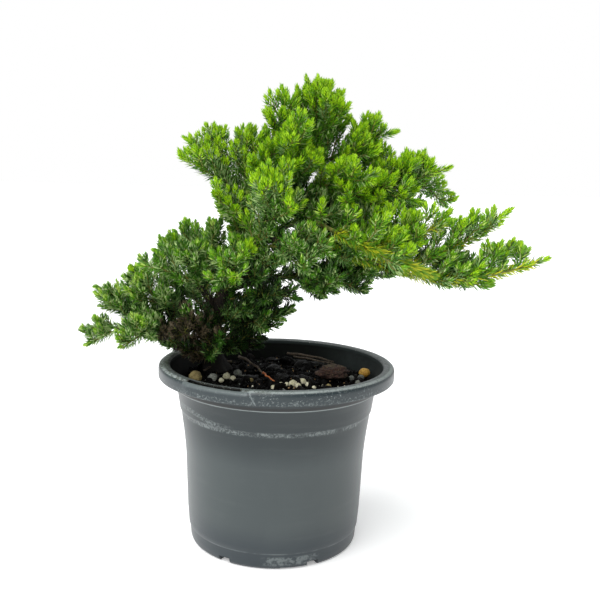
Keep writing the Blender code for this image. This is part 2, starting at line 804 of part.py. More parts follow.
def main():
    clear_scene()
    tree = collection("juniper_bonsai")
    helpers = collection("cutters", helper=True)
    scratch = collection("pieces_to_fuse", helper=True)
    make_pot(tree, helpers)
    make_soil(tree)
    lump("lava_chunk", CHUNK_AT, CHUNK_SIZE, "lava_stone", 0.25, tree)
    lump("yellow_pellet", PELLET_AT, (PELLET_RADIUS,) * 3, "pellet", 0.03, tree)
    make_trunk(tree)
    cutters = limb_cutters(helpers)
    for bough in BOUGHS:
        make_bough(bough, tree, cutters["trunk"])
    sprays = choose()
    for mass in MASSES:
        make_mass(mass, sprays[mass.name], tree, scratch, cutters)


main()
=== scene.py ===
"""The looks of a young garden juniper bonsai in its round nursery pot.

Sizes here are in millimetres and become metres as each piece is made. +Z is up, +X is towards the
long right arm, and the origin is under the middle of the pot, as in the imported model. The foliage
grows by the same rule as the solids do, and is then carried on to side shoots and needles.
"""

import math
from collections import namedtuple

import bmesh
import bpy
import numpy as np
from mathutils import Matrix, Vector, noise
from mathutils.bvhtree import BVHTree


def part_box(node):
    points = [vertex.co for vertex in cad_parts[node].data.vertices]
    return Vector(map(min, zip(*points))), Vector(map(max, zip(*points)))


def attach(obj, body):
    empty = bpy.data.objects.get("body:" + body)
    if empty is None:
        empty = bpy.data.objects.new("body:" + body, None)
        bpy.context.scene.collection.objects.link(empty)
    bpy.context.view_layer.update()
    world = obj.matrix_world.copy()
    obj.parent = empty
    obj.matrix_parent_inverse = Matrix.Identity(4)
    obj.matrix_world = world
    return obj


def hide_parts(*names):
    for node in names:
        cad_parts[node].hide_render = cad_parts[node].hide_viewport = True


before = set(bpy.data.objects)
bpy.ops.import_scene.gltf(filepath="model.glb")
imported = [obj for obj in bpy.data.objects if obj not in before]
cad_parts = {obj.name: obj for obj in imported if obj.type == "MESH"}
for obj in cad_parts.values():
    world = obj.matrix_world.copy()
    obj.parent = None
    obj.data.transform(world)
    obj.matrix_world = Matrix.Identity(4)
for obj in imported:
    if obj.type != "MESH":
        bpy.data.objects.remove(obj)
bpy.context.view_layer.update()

MM = 0.001
UP = Vector((0, 0, 1))
CLEAR = 0.3
GOLDEN_TURN = math.radians(137.508)
GOLDEN_SHARE = 0.618034
BODY = "root"

# The camera that shows the pot's rim, ring line and base as the photograph does, its turns in radians
CAMERA_AT = Vector((0, -424.57, 198.69))
CAMERA_DOWN = 0.157
CAMERA_RIGHT = 0.0271
CAMERA_ROLL = 0.028
LENS = 48.0
FILM = 36.0

# How bright the white room is in front, by how much more at the back and overhead, and its two lights,
# each as the side it comes from, its softness in degrees and its power
ROOM_FRONT = 0.17
ROOM_BACK = 0.50
ROOM_TOP = 0.20
LIGHTS = {
    "soft_key": ((-0.45, -0.35, 1.0), 60, 2.35),
    "front_fill": ((-0.55, -1.0, 0.5), 70, 1.15),
}
FLOOR_GLOW = 0.30
FLOOR_HALF = 9000
FLOOR_DROP = 0.2

# The pot, turned about the Z axis. Each station of its outside is (radius, height), from the rim down
RIM_TOP = 97.5
MOUTH_RADIUS = 57.6
SOIL_LEVEL = 88.0
SOIL_EDGE = 86.2
SOIL_HEAVE = 1.3
POT_STEPS = 192
RIM_RADIUS = 63.6
WALL = 1.4
DAMP_BELOW = 4
RIM_PROFILE = (
    (57.3, 95.4), (57.5, 96.5), (58.1, 97.2), (59.0, 97.5), (60.3, 97.5), (61.4, 97.4), (62.5, 97.1),
    (63.2, 96.5), (63.55, 95.6), (63.6, 94.6), (63.6, 91.5), (63.5, 90.9), (63.2, 90.5), (62.5, 90.5),
    (62.2, 90.8), (62.0, 92.0), (61.0, 93.6), (59.6, 94.0), (57.6, 93.4), (56.4, 92.2), (55.9, 90.6),
    (55.6, 88.0), (55.4, 86.4), (55.2, 85.6), (54.6, 85.1), (53.9, 84.8),
)
WALL_PROFILE = (
    (53.6, 84.0), (52.9, 79.0), (52.4, 75.6), (52.25, 74.4), (52.1, 73.7), (51.5, 73.0), (51.35, 72.2),
    (50.9, 68.5), (50.0, 62.0), (49.2, 55.0), (48.6, 48.0), (48.2, 38.0), (47.8, 28.0), (47.4, 18.0),
    (46.9, 11.5), (46.7, 9.0), (46.35, 8.5), (46.25, 7.9), (45.9, 5.0), (45.6, 1.8), (45.2, 0.7),
    (44.5, 0.1), (43.6, 0.0),
)
INSIDE_PROFILE = (
    (0, WALL), (44.0, WALL), (46.4, 20), (47.2, 45), (48.6, 60), (50.6, 73), (52.3, 84), (54.6, 90),
    (56.6, 93.6),
)
# The drain notches, and a low wide one where the foot is lifted
NOTCHES = 6
NOTCH_TURN = math.radians(-123)
NOTCH_OUT = 45
NOTCH_DEPTH = 9
NOTCH_WIDTH = 6.4
NOTCH_HEIGHT = 2.9
LIFTED_TURN = math.radians(-72)
LIFTED_DEPTH = 5
LIFTED_WIDTH = 20.0
LIFTED_HEIGHT = 0.8
# The label slot along the rim's top, and the panel of its face below it
SLOT_TURN = math.radians(-120.5)
SLOT_SPAN = math.radians(29)
SLOT_RADIUS = 60.9
SLOT_WIDTH = 2.0
SLOT_DEPTH = 2.4
PANEL_TURN = math.radians(-119.5)
PANEL_SPAN = math.radians(35)
PANEL_SLANT = math.radians(0.5)
PANEL_SWELL = 0.5
PANEL_SINK = 0.7
PANEL_REACH = 1.06
PANEL_EASE = 0.08
# Where the rim's face and the rim's top start, in from its edge and up
FACE_RADIUS = 62.4
FACE_FOOT = 90
TOP_RADIUS = 61
TOP_FOOT = 96
TOP_MARGIN = 0.2
# Heights of the marks on the pot's outside, from the lip under its rim down to its chafed foot, with a painted
# shade line and a painted highlight line under the rim among them
LIP_AT = 91.6
GROOVE_SHADE_AT = 86.5
COLLAR_AT = 85.3
STREAK_AT = 74.6
RING_AT = 72.6
BASE_AT = 8.6
CHAFE_AT = 4.4
CHAFE_TURN = math.radians(-78)

# The tree's limbs, as in the solids
TRUNK_CURVE = ((-34, 16, 88.3), (-49, 12, 122), (-14, 2, 150), (11, 6, 204))
TRUNK_FOOT = 6.0
TRUNK_TIP = 2.2
FLARE = 4.2
FLARE_HEIGHT = 9.0
FLARE_EVEN = 0.45
FLARE_RIDGED = 0.55
ROOT_RIDGES = 5
RIDGE_TURN = 0.6

Bough = namedtuple("Bough", "name at end bow foot tip")
BOUGHS = (
    Bough("low_left_bough", 0.11, (-60, 10, 106), -2, 2.5, 1.6),
    Bough("left_bough", 0.34, (-47, -5, 142), 3, 2.7, 1.6),
    Bough("upper_left_bough", 0.62, (-24, -1, 182), -1, 2.6, 1.5),
    Bough("front_bough", 0.54, (-11, -22, 166), -2, 2.4, 1.5),
    Bough("right_bough", 0.86, (36, 3, 191), 2, 2.4, 1.5),
    Bough("arm_bough", 0.72, (62, -34, 152), 3, 3.0, 1.8),
    Bough("under_bough", 0.46, (16, 8, 144), 2, 2.2, 1.4),
    Bough("rear_left_bough", 0.42, (-40, 32, 143), 2, 2.5, 1.5),
    Bough("rear_right_bough", 0.70, (14, 28, 174), 1, 2.5, 1.5),
)

# The masses of foliage, as in the solids: each grows from one stem, which leaves its limb at a share
# of its length and ends at the mass's tip. spread is the mass's half width across that stem, and lift
# is how far the stem bows up at its middle, as a share of its length
STEM_LIFT = 0.10
Mass = namedtuple("Mass", "name limb at tip spread twigs lift", defaults=(STEM_LIFT,))
MASSES = (
    Mass("crown_top", "trunk", 1.0, (25, 5, 246), 18, 8),
    Mass("crown_left", "trunk", 0.86, (1, 0, 239), 13, 8),
    Mass("crown_low_left", "trunk", 0.74, (-7, -26, 214), 11, 6),
    Mass("crown_right", "trunk", 0.94, (60, 5, 222), 15, 7),
    Mass("crown_front", "trunk", 0.82, (12, -36, 222), 14, 5),
    Mass("upper_left_tip", "upper_left_bough", 1.0, (-50, -4, 215), 10, 7),
    Mass("upper_left_top", "upper_left_bough", 0.62, (-40, 6, 222), 11, 6),
    Mass("left_shoulder", "upper_left_bough", 0.36, (-17, 0, 222), 13, 6),
    Mass("upper_left_low", "upper_left_bough", 0.50, (-33, -26, 188), 11, 6),
    Mass("right_shoulder", "right_bough", 1.0, (88, -2, 204), 12, 7),
    Mass("right_low", "right_bough", 0.62, (94, 18, 190), 14, 6),
    Mass("right_mid", "right_bough", 0.56, (70, -18, 186), 13, 6),
    Mass("front_right", "right_bough", 0.30, (44, -42, 196), 14, 6),
    Mass("heart", "front_bough", 1.0, (4, -48, 198), 15, 7),
    Mass("heart_low", "front_bough", 0.80, (25, -46, 161), 14, 6),
    Mass("heart_right", "trunk", 0.79, (34, -22, 183), 12, 6),
    Mass("belly", "front_bough", 0.60, (-28, -40, 150), 14, 7),
    Mass("arm_near", "arm_bough", 0.70, (84, -36, 178), 12, 6, 0.0),
    Mass("arm_fork", "arm_bough", 0.95, (111, -38, 184), 9, 7, -0.14),
    Mass("arm_tip", "arm_bough", 1.0, (131, -38, 161), 11, 7),
    Mass("arm_root", "arm_bough", 0.42, (58, -50, 166), 11, 5),
    Mass("left_mid", "left_bough", 0.62, (-48, -24, 157), 13, 7),
    Mass("left_high", "left_bough", 0.38, (-34, -2, 172), 11, 6),
    Mass("left_front", "left_bough", 1.0, (-72, -14, 150), 13, 8),
    Mass("low_front", "trunk", 0.34, (-12, -14, 125), 10, 6),
    Mass("left_low_tip", "low_left_bough", 1.0, (-105, 0, 113), 11, 8),
    Mass("left_low_top", "low_left_bough", 0.62, (-100, 12, 134), 11, 6),
    Mass("left_low_high", "low_left_bough", 0.42, (-79, 0, 146), 14, 7),
    Mass("left_low_front", "low_left_bough", 0.76, (-78, -28, 118), 12, 6),
    Mass("front_low", "trunk", 0.20, (-50, -24, 123), 12, 7),
    Mass("low_centre", "trunk", 0.27, (3, -8, 122), 11, 6),
    Mass("low_inner", "trunk", 0.40, (11, -18, 135), 12, 6),
    Mass("under_right", "under_bough", 1.0, (60, 6, 145), 13, 6),
    Mass("under_mid", "under_bough", 0.72, (31, -20, 143), 12, 5),
    Mass("rear_mid", "trunk", 0.60, (-24, 48, 178), 15, 5),
    Mass("rear_top", "trunk", 0.90, (14, 44, 215), 16, 6),
    Mass("rear_right", "rear_right_bough", 1.0, (52, 52, 184), 18, 6),
    Mass("rear_left", "rear_left_bough", 1.0, (-66, 50, 158), 18, 6),
    Mass("rear_low", "rear_left_bough", 0.50, (-18, 54, 136), 16, 4),
    Mass("foot_tuft", "trunk", 0.05, (-50, -11, 105), 7, 4),
    Mass("front_foot", "trunk", 0.15, (-29, -24, 112), 11, 6),
    Mass("right_foot", "trunk", 0.13, (-7, 0, 110), 11, 6),
    Mass("inner_right", "arm_bough", 0.22, (47, -12, 172), 11, 5),
    Mass("arm_skirt", "arm_bough", 0.34, (66, -26, 149), 11, 5),
    Mass("left_back", "trunk", 0.30, (-66, 20, 142), 13, 6),
    Mass("front_inner", "trunk", 0.47, (2, -28, 155), 11, 6),
)

# The rule that twigs and forks follow, as in the solids
EGG_MIDDLE = 0.53
EGG_REACH = 0.60
STEM_RADIUS = 1.3
STEM_BARES = (0.22, 0.32, 0.42, 0.55)
TWIG_FIRST = 0.14
TWIG_SPAN = 0.80
TWIG_PITCH = math.radians(50)
TWIG_LIFT = 0.38
TWIG_LONGEST = 34.0
TWIG_SHORTEST = 9.0
TWIG_RADIUS = 0.9
TWIG_BARE = 0.24
FORK_AT = 0.36
FORK_TURN = math.radians(42)
FORK_SHORTEST = 9.0
SCALES = (1.0, 0.8, 0.62)
SWINGS = (0, 0.5, -0.5, 1.0, -1.0, 1.6, -1.6)
TRIES = tuple((scale, swing) for scale in SCALES for swing in SWINGS)
CROWDED = 5.4
FORKED = 2
SHARED = 0.45
WHORL_PITCH = 7.5
NEEDLE_REACH = 6.4
NEEDLE_RISE = 4.6
NEEDLE_SLIM = 0.32
CORE_SHARE = 2.4
POT_GAP = 0.6
MIX_MARGIN = 4

# The finer growth: side shoots along every twig and limb, in millimetres and shares of a length
SHOOT_PITCH = 3.2
SHOOT_FIRST = 0.08
SHOOT_LAST = 0.78
SHOOT_TURN = math.radians(38)
SHOOT_LIFT = 0.50
SHOOT_SHORTEST = 5.5
SHOOT_LONGEST = 17.0
SHOOT_SHARE = 0.55
SHOOT_EGG = 1.13
PAIRED = 9.0
PAIR_AT = 0.42
PAIR_STEP = 0.08
PAIR_REACH = 0.85
PAIR_TURN = math.radians(36)
PAIR_SWING = 0.6
PAIR_ROLL = 1.1
PAIR_LIFT = 0.15
LIMB_PITCH = 3.0
LIMB_TURN = math.radians(55)
LIMB_LIFT = 0.3
LIMB_BEND = 1.25
DRY_SHOOTS = 120
DRY_REACH = 9.0
DRY_LIFT = 0.1
DRY_BEND = 0.4
DRY_ON = (("trunk", 0.10, 0.36), ("low_left_bough", 0.05, 0.70))
DRY_PLACE = Vector((-47, -8, 114))
DRY_SPREAD = 19.0
DRY_LEVEL = 0.35
DRY_EDGE = 0.25
# What share of a twig's bare foot has no side shoots
SHOOT_IN_BARE = 0.3
# How much shoots differ in where they leave, how they are turned, how far they lean and how far they reach
SHOOT_STRAYS = 0.3
SHOOT_SWINGS = 0.4
SHOOT_TILTS = 0.25
SHOOT_VARIES = 0.22
PAIR_STRAYS = 0.05
PAIR_VARIES = 0.12
LIMB_VARIES = 0.3
DRY_VARIES = 0.35
# The step from one shoot's key for wobble to the next one's
SIDE_KEY = 0.37
PAIR_KEY = 0.11
LIMB_KEY = 0.23
DRY_KEY = 0.19
# How far a shoot's tip stays above the rim, inside the mouth and above the mix
RIM_MARGIN = 3
MOUTH_MARGIN = 6
SOIL_MARGIN = 4
# How thick each kind of shoot is at its foot and at its tip, and what share of it is bare at its foot.
# A leader follows a spray of the solids, and its foot is a share of that spray's thickness
LEADER_BUILD = (0.62, 0.30, 0.04)
SIDE_BUILD = (0.45, 0.26, 0.10)
PAIR_BUILD = (0.35, 0.24, 0.10)
LIMB_SIDE_BUILD = (0.60, 0.26, 0.15)
WAND_BUILD = (0.50, 0.30, TWIG_BARE)
DRY_BUILD = (0.50, 0.20, 0.25)
BRUSH_BUILD = (1.20, 0.80, 0.12)
# Which part of each limb is clothed in shoots, and how far they reach
CLOTHED = {
    "trunk": (0.20, 0.99, 16),
    "low_left_bough": (0.30, 0.99, 20),
    "left_bough": (0.30, 0.99, 16),
    "upper_left_bough": (0.20, 0.99, 16),
    "front_bough": (0.20, 0.99, 15),
    "right_bough": (0.25, 0.99, 17),
    "arm_bough": (0.22, 0.99, 21),
    "under_bough": (0.30, 0.99, 17),
    "rear_left_bough": (0.35, 0.99, 15),
    "rear_right_bough": (0.30, 0.99, 15),
}

# The needles stand in whorls of ARMS. By how far back from its shoot's tip a whorl is: the angle its
# needles open to in degrees, their length and their width, so that tips end in tufts and old ones spread
BACKS = (0.0, 1.0, 2.5, 5.0, 9.0, 14.0)
OPENINGS = (8, 18, 28, 38, 46, 51)
REACHES = (2.5, 3.1, 3.8, 4.4, 4.9, 5.3)
GIRTHS = (1.12, 1.18, 1.14, 1.02, 0.92, 0.86)
ARMS = {"brush": 24, "limb": 9, "stem": 7, "twig": 6, "side": 4, "pair": 3, "dry": 2}
LEADERS = ("brush", "limb", "stem", "twig")
BRUSH_SHUT = 0.72
TIP_PITCH = 0.95
OLD_PITCH = 1.6
YOUNG = 12.0
YOUNG_END = 3.3
MIDDLE_END = 7.0
FARTHEST_BACK = 70
SUNK = 0.7
# A direction that few shoots follow, from which the turns of the needles round a shoot are measured
ASIDE = (0.3, 1, 0.2)
# Into how many lengths a twig's line is cut
LEADER_STEPS = 6
SHOOT_STEPS = 3
WOODY_SHARE = 0.2
FOLIAGE_SEED = 41
# How much single needles differ: round the shoot, in opening, in size and in how old they look
TURN_VARIES = 0.2
OPENING_VARIES = 9
SIZE_VARIES = 0.10
AGE_VARIES = 0.8
# The painted light on a shoot's greens: more with height, and less with every shoot that stands close
# ahead of its tip, towards the outside of the crown and up
LIGHT_FOOT = 105
LIGHT_SPAN = 110
LIGHT_LEAST = 0.65
LIGHT_GAIN = 0.35
LIGHT_OPEN = 1.15
LIGHT_LOST = 0.75
LIGHT_VARIES = 0.13
PAIR_SHADE = 0.05
COVERED = 30
COVER_CENTRE = np.array((0.0, 0.0, 130.0))
COVER_LEAN = np.array((0, -0.25, 0.9))
COVER_AHEAD = 9.0
COVER_REACH = 11.0
COVER_BATCH = 500
# Shares of odd needles: darker ones, and paler ones, more on grey growth and fewer in the shade. The
# paler ones are waxy bloom and painted highlights
DARK_SHARE = 0.24
PALE_SHARE = 0.08
PALE_ON_GREY = 0.36
PALE_IN_SHADE = 0.12
PALE_IN_LIGHT = 3.2
BLOOM_ON_GREY = 1.2
BRUSH_PALE = 0.30
# Where painted shade makes the plant darkest, each as a place, how far its shade reaches and how deep it is
HOLLOWS = (
    (Vector((-34, 10, 100)), 46.0, 0.75),
    (Vector((-8, -15, 138)), 34.0, 0.34),
    (Vector((30, 0, 146)), 30.0, 0.20),
    (Vector((-30, -36, 152)), 26.0, 0.30),
    (Vector((14, -40, 162)), 27.0, 0.50),
)

# Greens as the photograph shows them, from lit young tips to old needles deep inside
# the lit and shaded greens paint light and shade on the needles, besides their age
GREENS = {
    "lime_needles": (160, 204, 26),
    "fresh_needles": (118, 172, 26),
    "leaf_needles": (88, 142, 30),
    "deep_needles": (56, 100, 26),
    "bloom_needles": (118, 156, 88),
    "shaded_needles": (30, 56, 18),
    "straw_needles": (184, 190, 38),
    # pale and sheen needles are waxy bloom and painted highlights
    "pale_needles": (170, 196, 126),
    "sheen_needles": (176, 206, 92),
    "dry_needles": (94, 84, 64),
    "umber_needles": (36, 38, 22),
    "olive_needles": (114, 152, 34),
}
LIME, FRESH, LEAF, DEEP, BLOOM, SHADED, STRAW, PALE, SHEEN, DRY, UMBER, OLIVE = range(12)
# The finishes of a shoot's young end, middle and old part where it has more than this much painted light
SHADES = (
    (0.72, (LIME, FRESH, LEAF)),
    (0.52, (FRESH, LEAF, LEAF)),
    (0.32, (LEAF, LEAF, DEEP)),
    (0.18, (LEAF, DEEP, DEEP)),
    (0.06, (DEEP, DEEP, SHADED)),
    (-9.0, (SHADED, SHADED, UMBER)),
)
# What each finish turns into on a darker and on a paler needle, the paler one being waxy bloom and a painted
# highlight
DARKER = np.array((FRESH, LEAF, DEEP, SHADED, DEEP, UMBER, LEAF, BLOOM, FRESH, UMBER, UMBER, LEAF))
PALER = np.array((LIME, SHEEN, PALE, BLOOM, PALE, DEEP, STRAW, PALE, SHEEN, BLOOM, DEEP, STRAW))


# Wiring


def linear(red, green, blue):
    """A colour as a picture shows it, 0 to 255, as the shader needs it."""
    parts = [part / 255 for part in (red, green, blue)]
    return tuple(part / 12.92 if part <= 0.04045 else ((part + 0.055) / 1.055) ** 2.4 for part in parts)


def pick(sockets, key):
    if isinstance(key, int):
        return sockets[key]
    return next(socket for socket in sockets if socket.name == key and socket.enabled)


class Wire:
    """A socket in a node tree. Arithmetic on it adds the Math nodes that work it out."""

    def __init__(self, net, socket):
        self.net = net
        self.socket = socket

    def __add__(self, other):
        return self.net.math("ADD", self, other)

    def __radd__(self, other):
        return self.net.math("ADD", other, self)

    def __sub__(self, other):
        return self.net.math("SUBTRACT", self, other)

    def __rsub__(self, other):
        return self.net.math("SUBTRACT", other, self)

    def __mul__(self, other):
        return self.net.math("MULTIPLY", self, other)

    def __rmul__(self, other):
        return self.net.math("MULTIPLY", other, self)


class Net:
    """A node tree, for a material or for geometry, wired up one node at a time."""

    def __init__(self, tree):
        self.tree = tree

    def node(self, kind, settings=None, sockets=None, out=0):
        """Adds a node with its settings, then its sockets' values and links, and gives one output."""
        made = self.tree.nodes.new(kind)
        for name, value in (settings or {}).items():
            if name == "stops":
                self.set_stops(made.color_ramp, value)
            else:
                setattr(made, name, value)
        for key, value in (sockets or {}).items():
            socket = pick(made.inputs, key)
            if isinstance(value, Wire):
                self.tree.links.new(value.socket, socket)
            else:
                socket.default_value = value
        return Wire(self, pick(made.outputs, out)) if len(made.outputs) else None

    def set_stops(self, ramp, stops):
        while len(ramp.elements) < len(stops):
            ramp.elements.new(1)
        for element, (place, colour) in zip(ramp.elements, stops):
            element.position = place
            element.color = (*colour, 1)

    def math(self, operation, *values):
        return self.node("ShaderNodeMath", {"operation": operation}, dict(enumerate(values)))

    def mix(self, share, one, two):
        """One colour, and the other as far as share goes. A plain one is as a picture shows it."""
        one, two = (value if isinstance(value, Wire) else (*linear(*value), 1) for value in (one, two))
        return self.node(
            "ShaderNodeMix",
            {"data_type": "RGBA", "clamp_factor": True},
            {"Factor": share, "A": one, "B": two},
            "Result",
        )

    def ramp(self, value, *stops):
        """A colour for each value from 0 to 1, by stops of (value, colour as a picture shows it)."""
        stops = [(place, linear(*colour)) for place, colour in stops]
        return self.node("ShaderNodeValToRGB", {"stops": stops}, {"Fac": value}, "Color")

    def step(self, value, low, high, start=0.0, end=1.0):
        """start where value is under low, end where it is over high, and smooth between them."""
        return self.node(
            "ShaderNodeMapRange",
            {"interpolation_type": "SMOOTHSTEP"},
            {"Value": value, "From Min": low, "From Max": high, "To Min": start, "To Max": end},
        )

    def band(self, value, middle, half, soft):
        """1 within half of the middle, and 0 past another soft."""
        away = self.math("ABSOLUTE", value - middle)
        return self.step(away, half, half + soft, 1.0, 0.0)

    def place(self):
        """The place on the object, in millimetres."""
        place = self.node("ShaderNodeTexCoord", out="Object")
        return self.node("ShaderNodeVectorMath", {"operation": "SCALE"}, {0: place, "Scale": 1000.0})

    def stretched(self, place, sizes):
        return self.node("ShaderNodeVectorMath", {"operation": "MULTIPLY"}, {0: place, 1: sizes})

    def cloud(self, place, scale, detail=3.0, roughness=0.55, distortion=0.0):
        """Noise from about 0 to 1, with a feature every 1/scale millimetres."""
        sockets = {
            "Vector": place,
            "Scale": scale,
            "Detail": detail,
            "Roughness": roughness,
            "Distortion": distortion,
        }
        return self.node("ShaderNodeTexNoise", None, sockets, "Fac")

    def vector(self, x, y, z):
        return self.node("ShaderNodeCombineXYZ", None, {"X": x, "Y": y, "Z": z})

    def xyz(self, place):
        split = self.node("ShaderNodeSeparateXYZ", None, {"Vector": place}, "X")
        outputs = split.socket.node.outputs
        return [Wire(self, outputs[axis]) for axis in "XYZ"]


def finish_of(name, build, **constants):
    """A Principled material: constants go on its own sockets, and build wires up what varies."""
    made = bpy.data.materials.new(name)
    made.use_nodes = True
    shader = made.node_tree.nodes["Principled BSDF"]
    for key, value in constants.items():
        shader.inputs[key.replace("_", " ")].default_value = value
    net = Net(made.node_tree)
    for key, value in build(net).items():
        if isinstance(value, Wire):
            net.tree.links.new(value.socket, shader.inputs[key])
        else:
            shader.inputs[key].default_value = value
    return made


def bump(net, height, depth, strength=1.0):
    """A normal from a height that goes from 0 to 1 over this many millimetres."""
    sockets = {"Strength": strength, "Distance": depth * MM, "Height": height}
    return net.node("ShaderNodeBump", None, sockets, "Normal")


# Materials


def plain_green(name):
    """Needles are one plain colour each, dealt out by spray."""
    colour = (*linear(*GREENS[name]), 1)
    return finish_of(name, lambda net: {"Base Color": colour}, Roughness=0.45, Specular_IOR_Level=0.28)


def pot_plastic(net):
    """Weathered grey plastic: hazy, scuffed pale along its rim, ring line and base, dusty on top, with painted
    light and shade.
    """
    place = net.place()
    x, y, z = net.xyz(place)
    turn = net.math("ARCTAN2", y, x)
    out = net.math("SQRT", x * x + y * y)
    haze = net.cloud(net.stretched(place, (1, 1, 0.5)), 0.035, 4, 0.55)
    smear = net.cloud(net.stretched(place, (0.25, 0.25, 2.2)), 0.09, 4, 0.6)
    fine = net.cloud(place, 0.9, 5, 0.7)

    white = pot_scuffs(net, place, turn, out, z, smear, fine)
    # white holds the rubbed marks and the painted highlight line under the rim
    colour = net.mix(white, pot_tones(net, out, z, haze, smear), (178, 188, 186))
    colour = pot_rim_marks(net, turn, out, z, colour)
    dust = net.step(z, 96.2, 97.0) * net.step(net.cloud(place, 0.5, 4, 0.7), 0.46, 0.6)
    mossy = dust * net.band(turn, math.radians(-165), 1.0, 0.5)
    colour = net.mix(mossy * 0.8, colour, (40, 42, 30))
    specks = net.step(z, 95, 97) * net.step(net.cloud(place, 2.2, 2, 0.5), 0.66, 0.72)
    colour = net.mix(specks * 0.8, colour, (200, 202, 192))

    height = net.cloud(place, 1.8, 3, 0.6) * 0.5 + fine * 0.3 + white * 0.5
    return {
        "Base Color": colour,
        "Roughness": 0.31 + 0.12 * haze + 0.3 * white + 0.2 * dust,
        "Normal": bump(net, height, 0.10, 0.5),
    }


def pot_tones(net, out, z, haze, smear):
    """The plastic's greys: hazy mid-wall, painted shade under the rim, darker on the rim and foot, painted
    light on the rim's top.
    """
    colour = net.mix(net.step(haze, 0.35, 0.7), (34, 46, 50), (48, 58, 60))
    colour = net.mix(net.band(z, 36, 12, 26) * 0.5, colour, (68, 76, 76))
    # painted shade: the upper wall darkened under the rim
    colour = net.mix(net.step(z, 52, 70) * 0.75, colour, (17, 31, 34))
    colour = net.mix(net.step(z, 24, 10) * 0.6, colour, (28, 40, 48))
    colour = net.mix(net.step(smear, 0.5, 0.85) * 0.14, colour, (98, 103, 100))
    rim = net.step(z, 90.2, 90.9) * net.step(out, 57.5, 60)
    colour = net.mix(rim * 0.8, colour, (36, 48, 52))
    # painted light: the rim's top paler where the light falls on it
    top = net.step(z, 96.5, 97.2)
    return net.mix(top * net.step(smear, 0.3, 0.6, 0.35, 0.7), colour, (96, 103, 102))


def pot_scuffs(net, place, turn, out, z, smear, fine):
    """Where the plastic is rubbed white: the rim's edge, lip and face, and the marks further down, with a
    painted highlight line under the rim.
    """
    patch = net.cloud(place, 0.10, 4, 0.65)
    front = net.band(turn, math.radians(-80), 0.35, 0.3)
    edge = net.band(z, 97.1, 0.25, 0.45) * net.band(out, 62.0, 0.5, 0.8) * net.step(fine, 0.32, 0.5)
    lip = net.band(z, LIP_AT, 0.8, 1.2) * net.step(out, 62, 63) * net.step(fine, 0.48, 0.66)
    face = net.band(z, 94.0, 2.4, 1.0) * net.step(out, 62.4, 63.2) * net.step(fine, 0.55, 0.66)
    face = face * net.step(patch, 0.46, 0.58) * (0.3 + 0.7 * front)
    ring = net.band(z, RING_AT, 0.6, 1.2) * net.step(fine, 0.40, 0.62) * net.step(patch, 0.34, 0.56)
    streak_at = STREAK_AT + 3.5 * net.step(turn, -2.1, -2.6)
    streak = net.band(z, streak_at, 0.8, 1.0) * net.step(fine, 0.42, 0.62) * net.step(turn, -1.95, -2.2)
    base = net.band(z, BASE_AT, 0.2, 0.4) * net.step(patch, 0.4, 0.6)
    chafe = net.band(z, CHAFE_AT, 1.8, 1.2) * net.band(turn, CHAFE_TURN, 0.24, 0.12)
    chafe = chafe * net.step(net.cloud(place, 0.45, 3, 0.6), 0.40, 0.62)
    # a painted highlight along the lower edge of the ledge under the rim
    collar_highlight = net.band(z, COLLAR_AT, 0.25, 0.4) * net.step(out, 54, 54.6)
    collar_highlight = collar_highlight * net.step(smear, 0.2, 0.45, 0.5, 1.0)
    white = collar_highlight * 0.5
    marks = ((edge, 0.5), (lip, 0.28), (face, 0.5), (ring, 0.35), (streak, 0.28), (base, 0.13), (chafe, 0.22))
    for mark, strength in marks:
        white = net.math("MAXIMUM", white, mark * strength)
    return white


def pot_rim_marks(net, turn, out, z, colour):
    """Painted light and shade on the rim: highlights on the label panel's edge and top, a shade line under the
    rim and shade in the label slot.
    """
    slant = turn - PANEL_SLANT * (RIM_TOP - z)
    on_face = net.step(out, 61.6, 62.2)
    # a painted highlight on the label panel's slanted edge
    seam_highlight = net.band(slant, PANEL_TURN + PANEL_SPAN / 2, 0.004, 0.004) * on_face * net.step(z, 91, 91.5)
    colour = net.mix(seam_highlight * 0.3, colour, (150, 160, 160))
    # panel is a painted highlight along the top of the label panel's face
    panel = net.band(turn, PANEL_TURN, PANEL_SPAN / 2 - 0.02, 0.02) * net.step(z, 94.4, 96.2) * on_face
    colour = net.mix(panel * 0.4, colour, (132, 142, 142))
    # a painted shade line under the rim, where the rim shades the wall
    groove_shade = net.band(z, GROOVE_SHADE_AT, 0.5, 0.5) * net.step(out, 54.6, 55.0)
    colour = net.mix(groove_shade * 0.85, colour, (4, 7, 8))
    # slot is painted shade in the label slot
    slot = net.band(turn, SLOT_TURN, SLOT_SPAN / 2, 0.02) * net.band(out, SLOT_RADIUS, SLOT_WIDTH / 2, 0.15)
    slot = slot * net.step(z, 97.45, 97.3) * net.step(z, 94.6, 94.9)
    return net.mix(slot, colour, (3, 4, 4))


def damp_plastic(net):
    """The pot's inside: near black with damp, algae and painted shade, paler at its top edge, and a painted
    patch of light on the right.
    """
    place = net.place()
    x, y, z = net.xyz(place)
    turn = net.math("ARCTAN2", y, x)
    patch = net.cloud(place, 0.10, 4, 0.65)
    grain = net.cloud(place, 1.8, 3, 0.6)
    # dry is a painted patch of light where the light falls on the inside's right
    dry = net.band(turn, math.radians(15), 0.35, 0.6) * net.step(patch, 0.3, 0.6, 0.5, 0.9)
    colour = net.mix(dry, (5, 8, 6), (44, 50, 50))
    colour = net.mix(net.step(z, 94.6, 96.0), colour, (46, 53, 53))
    return {"Base Color": colour, "Roughness": 0.6 + 0.3 * patch, "Normal": bump(net, grain, 0.1, 0.5)}


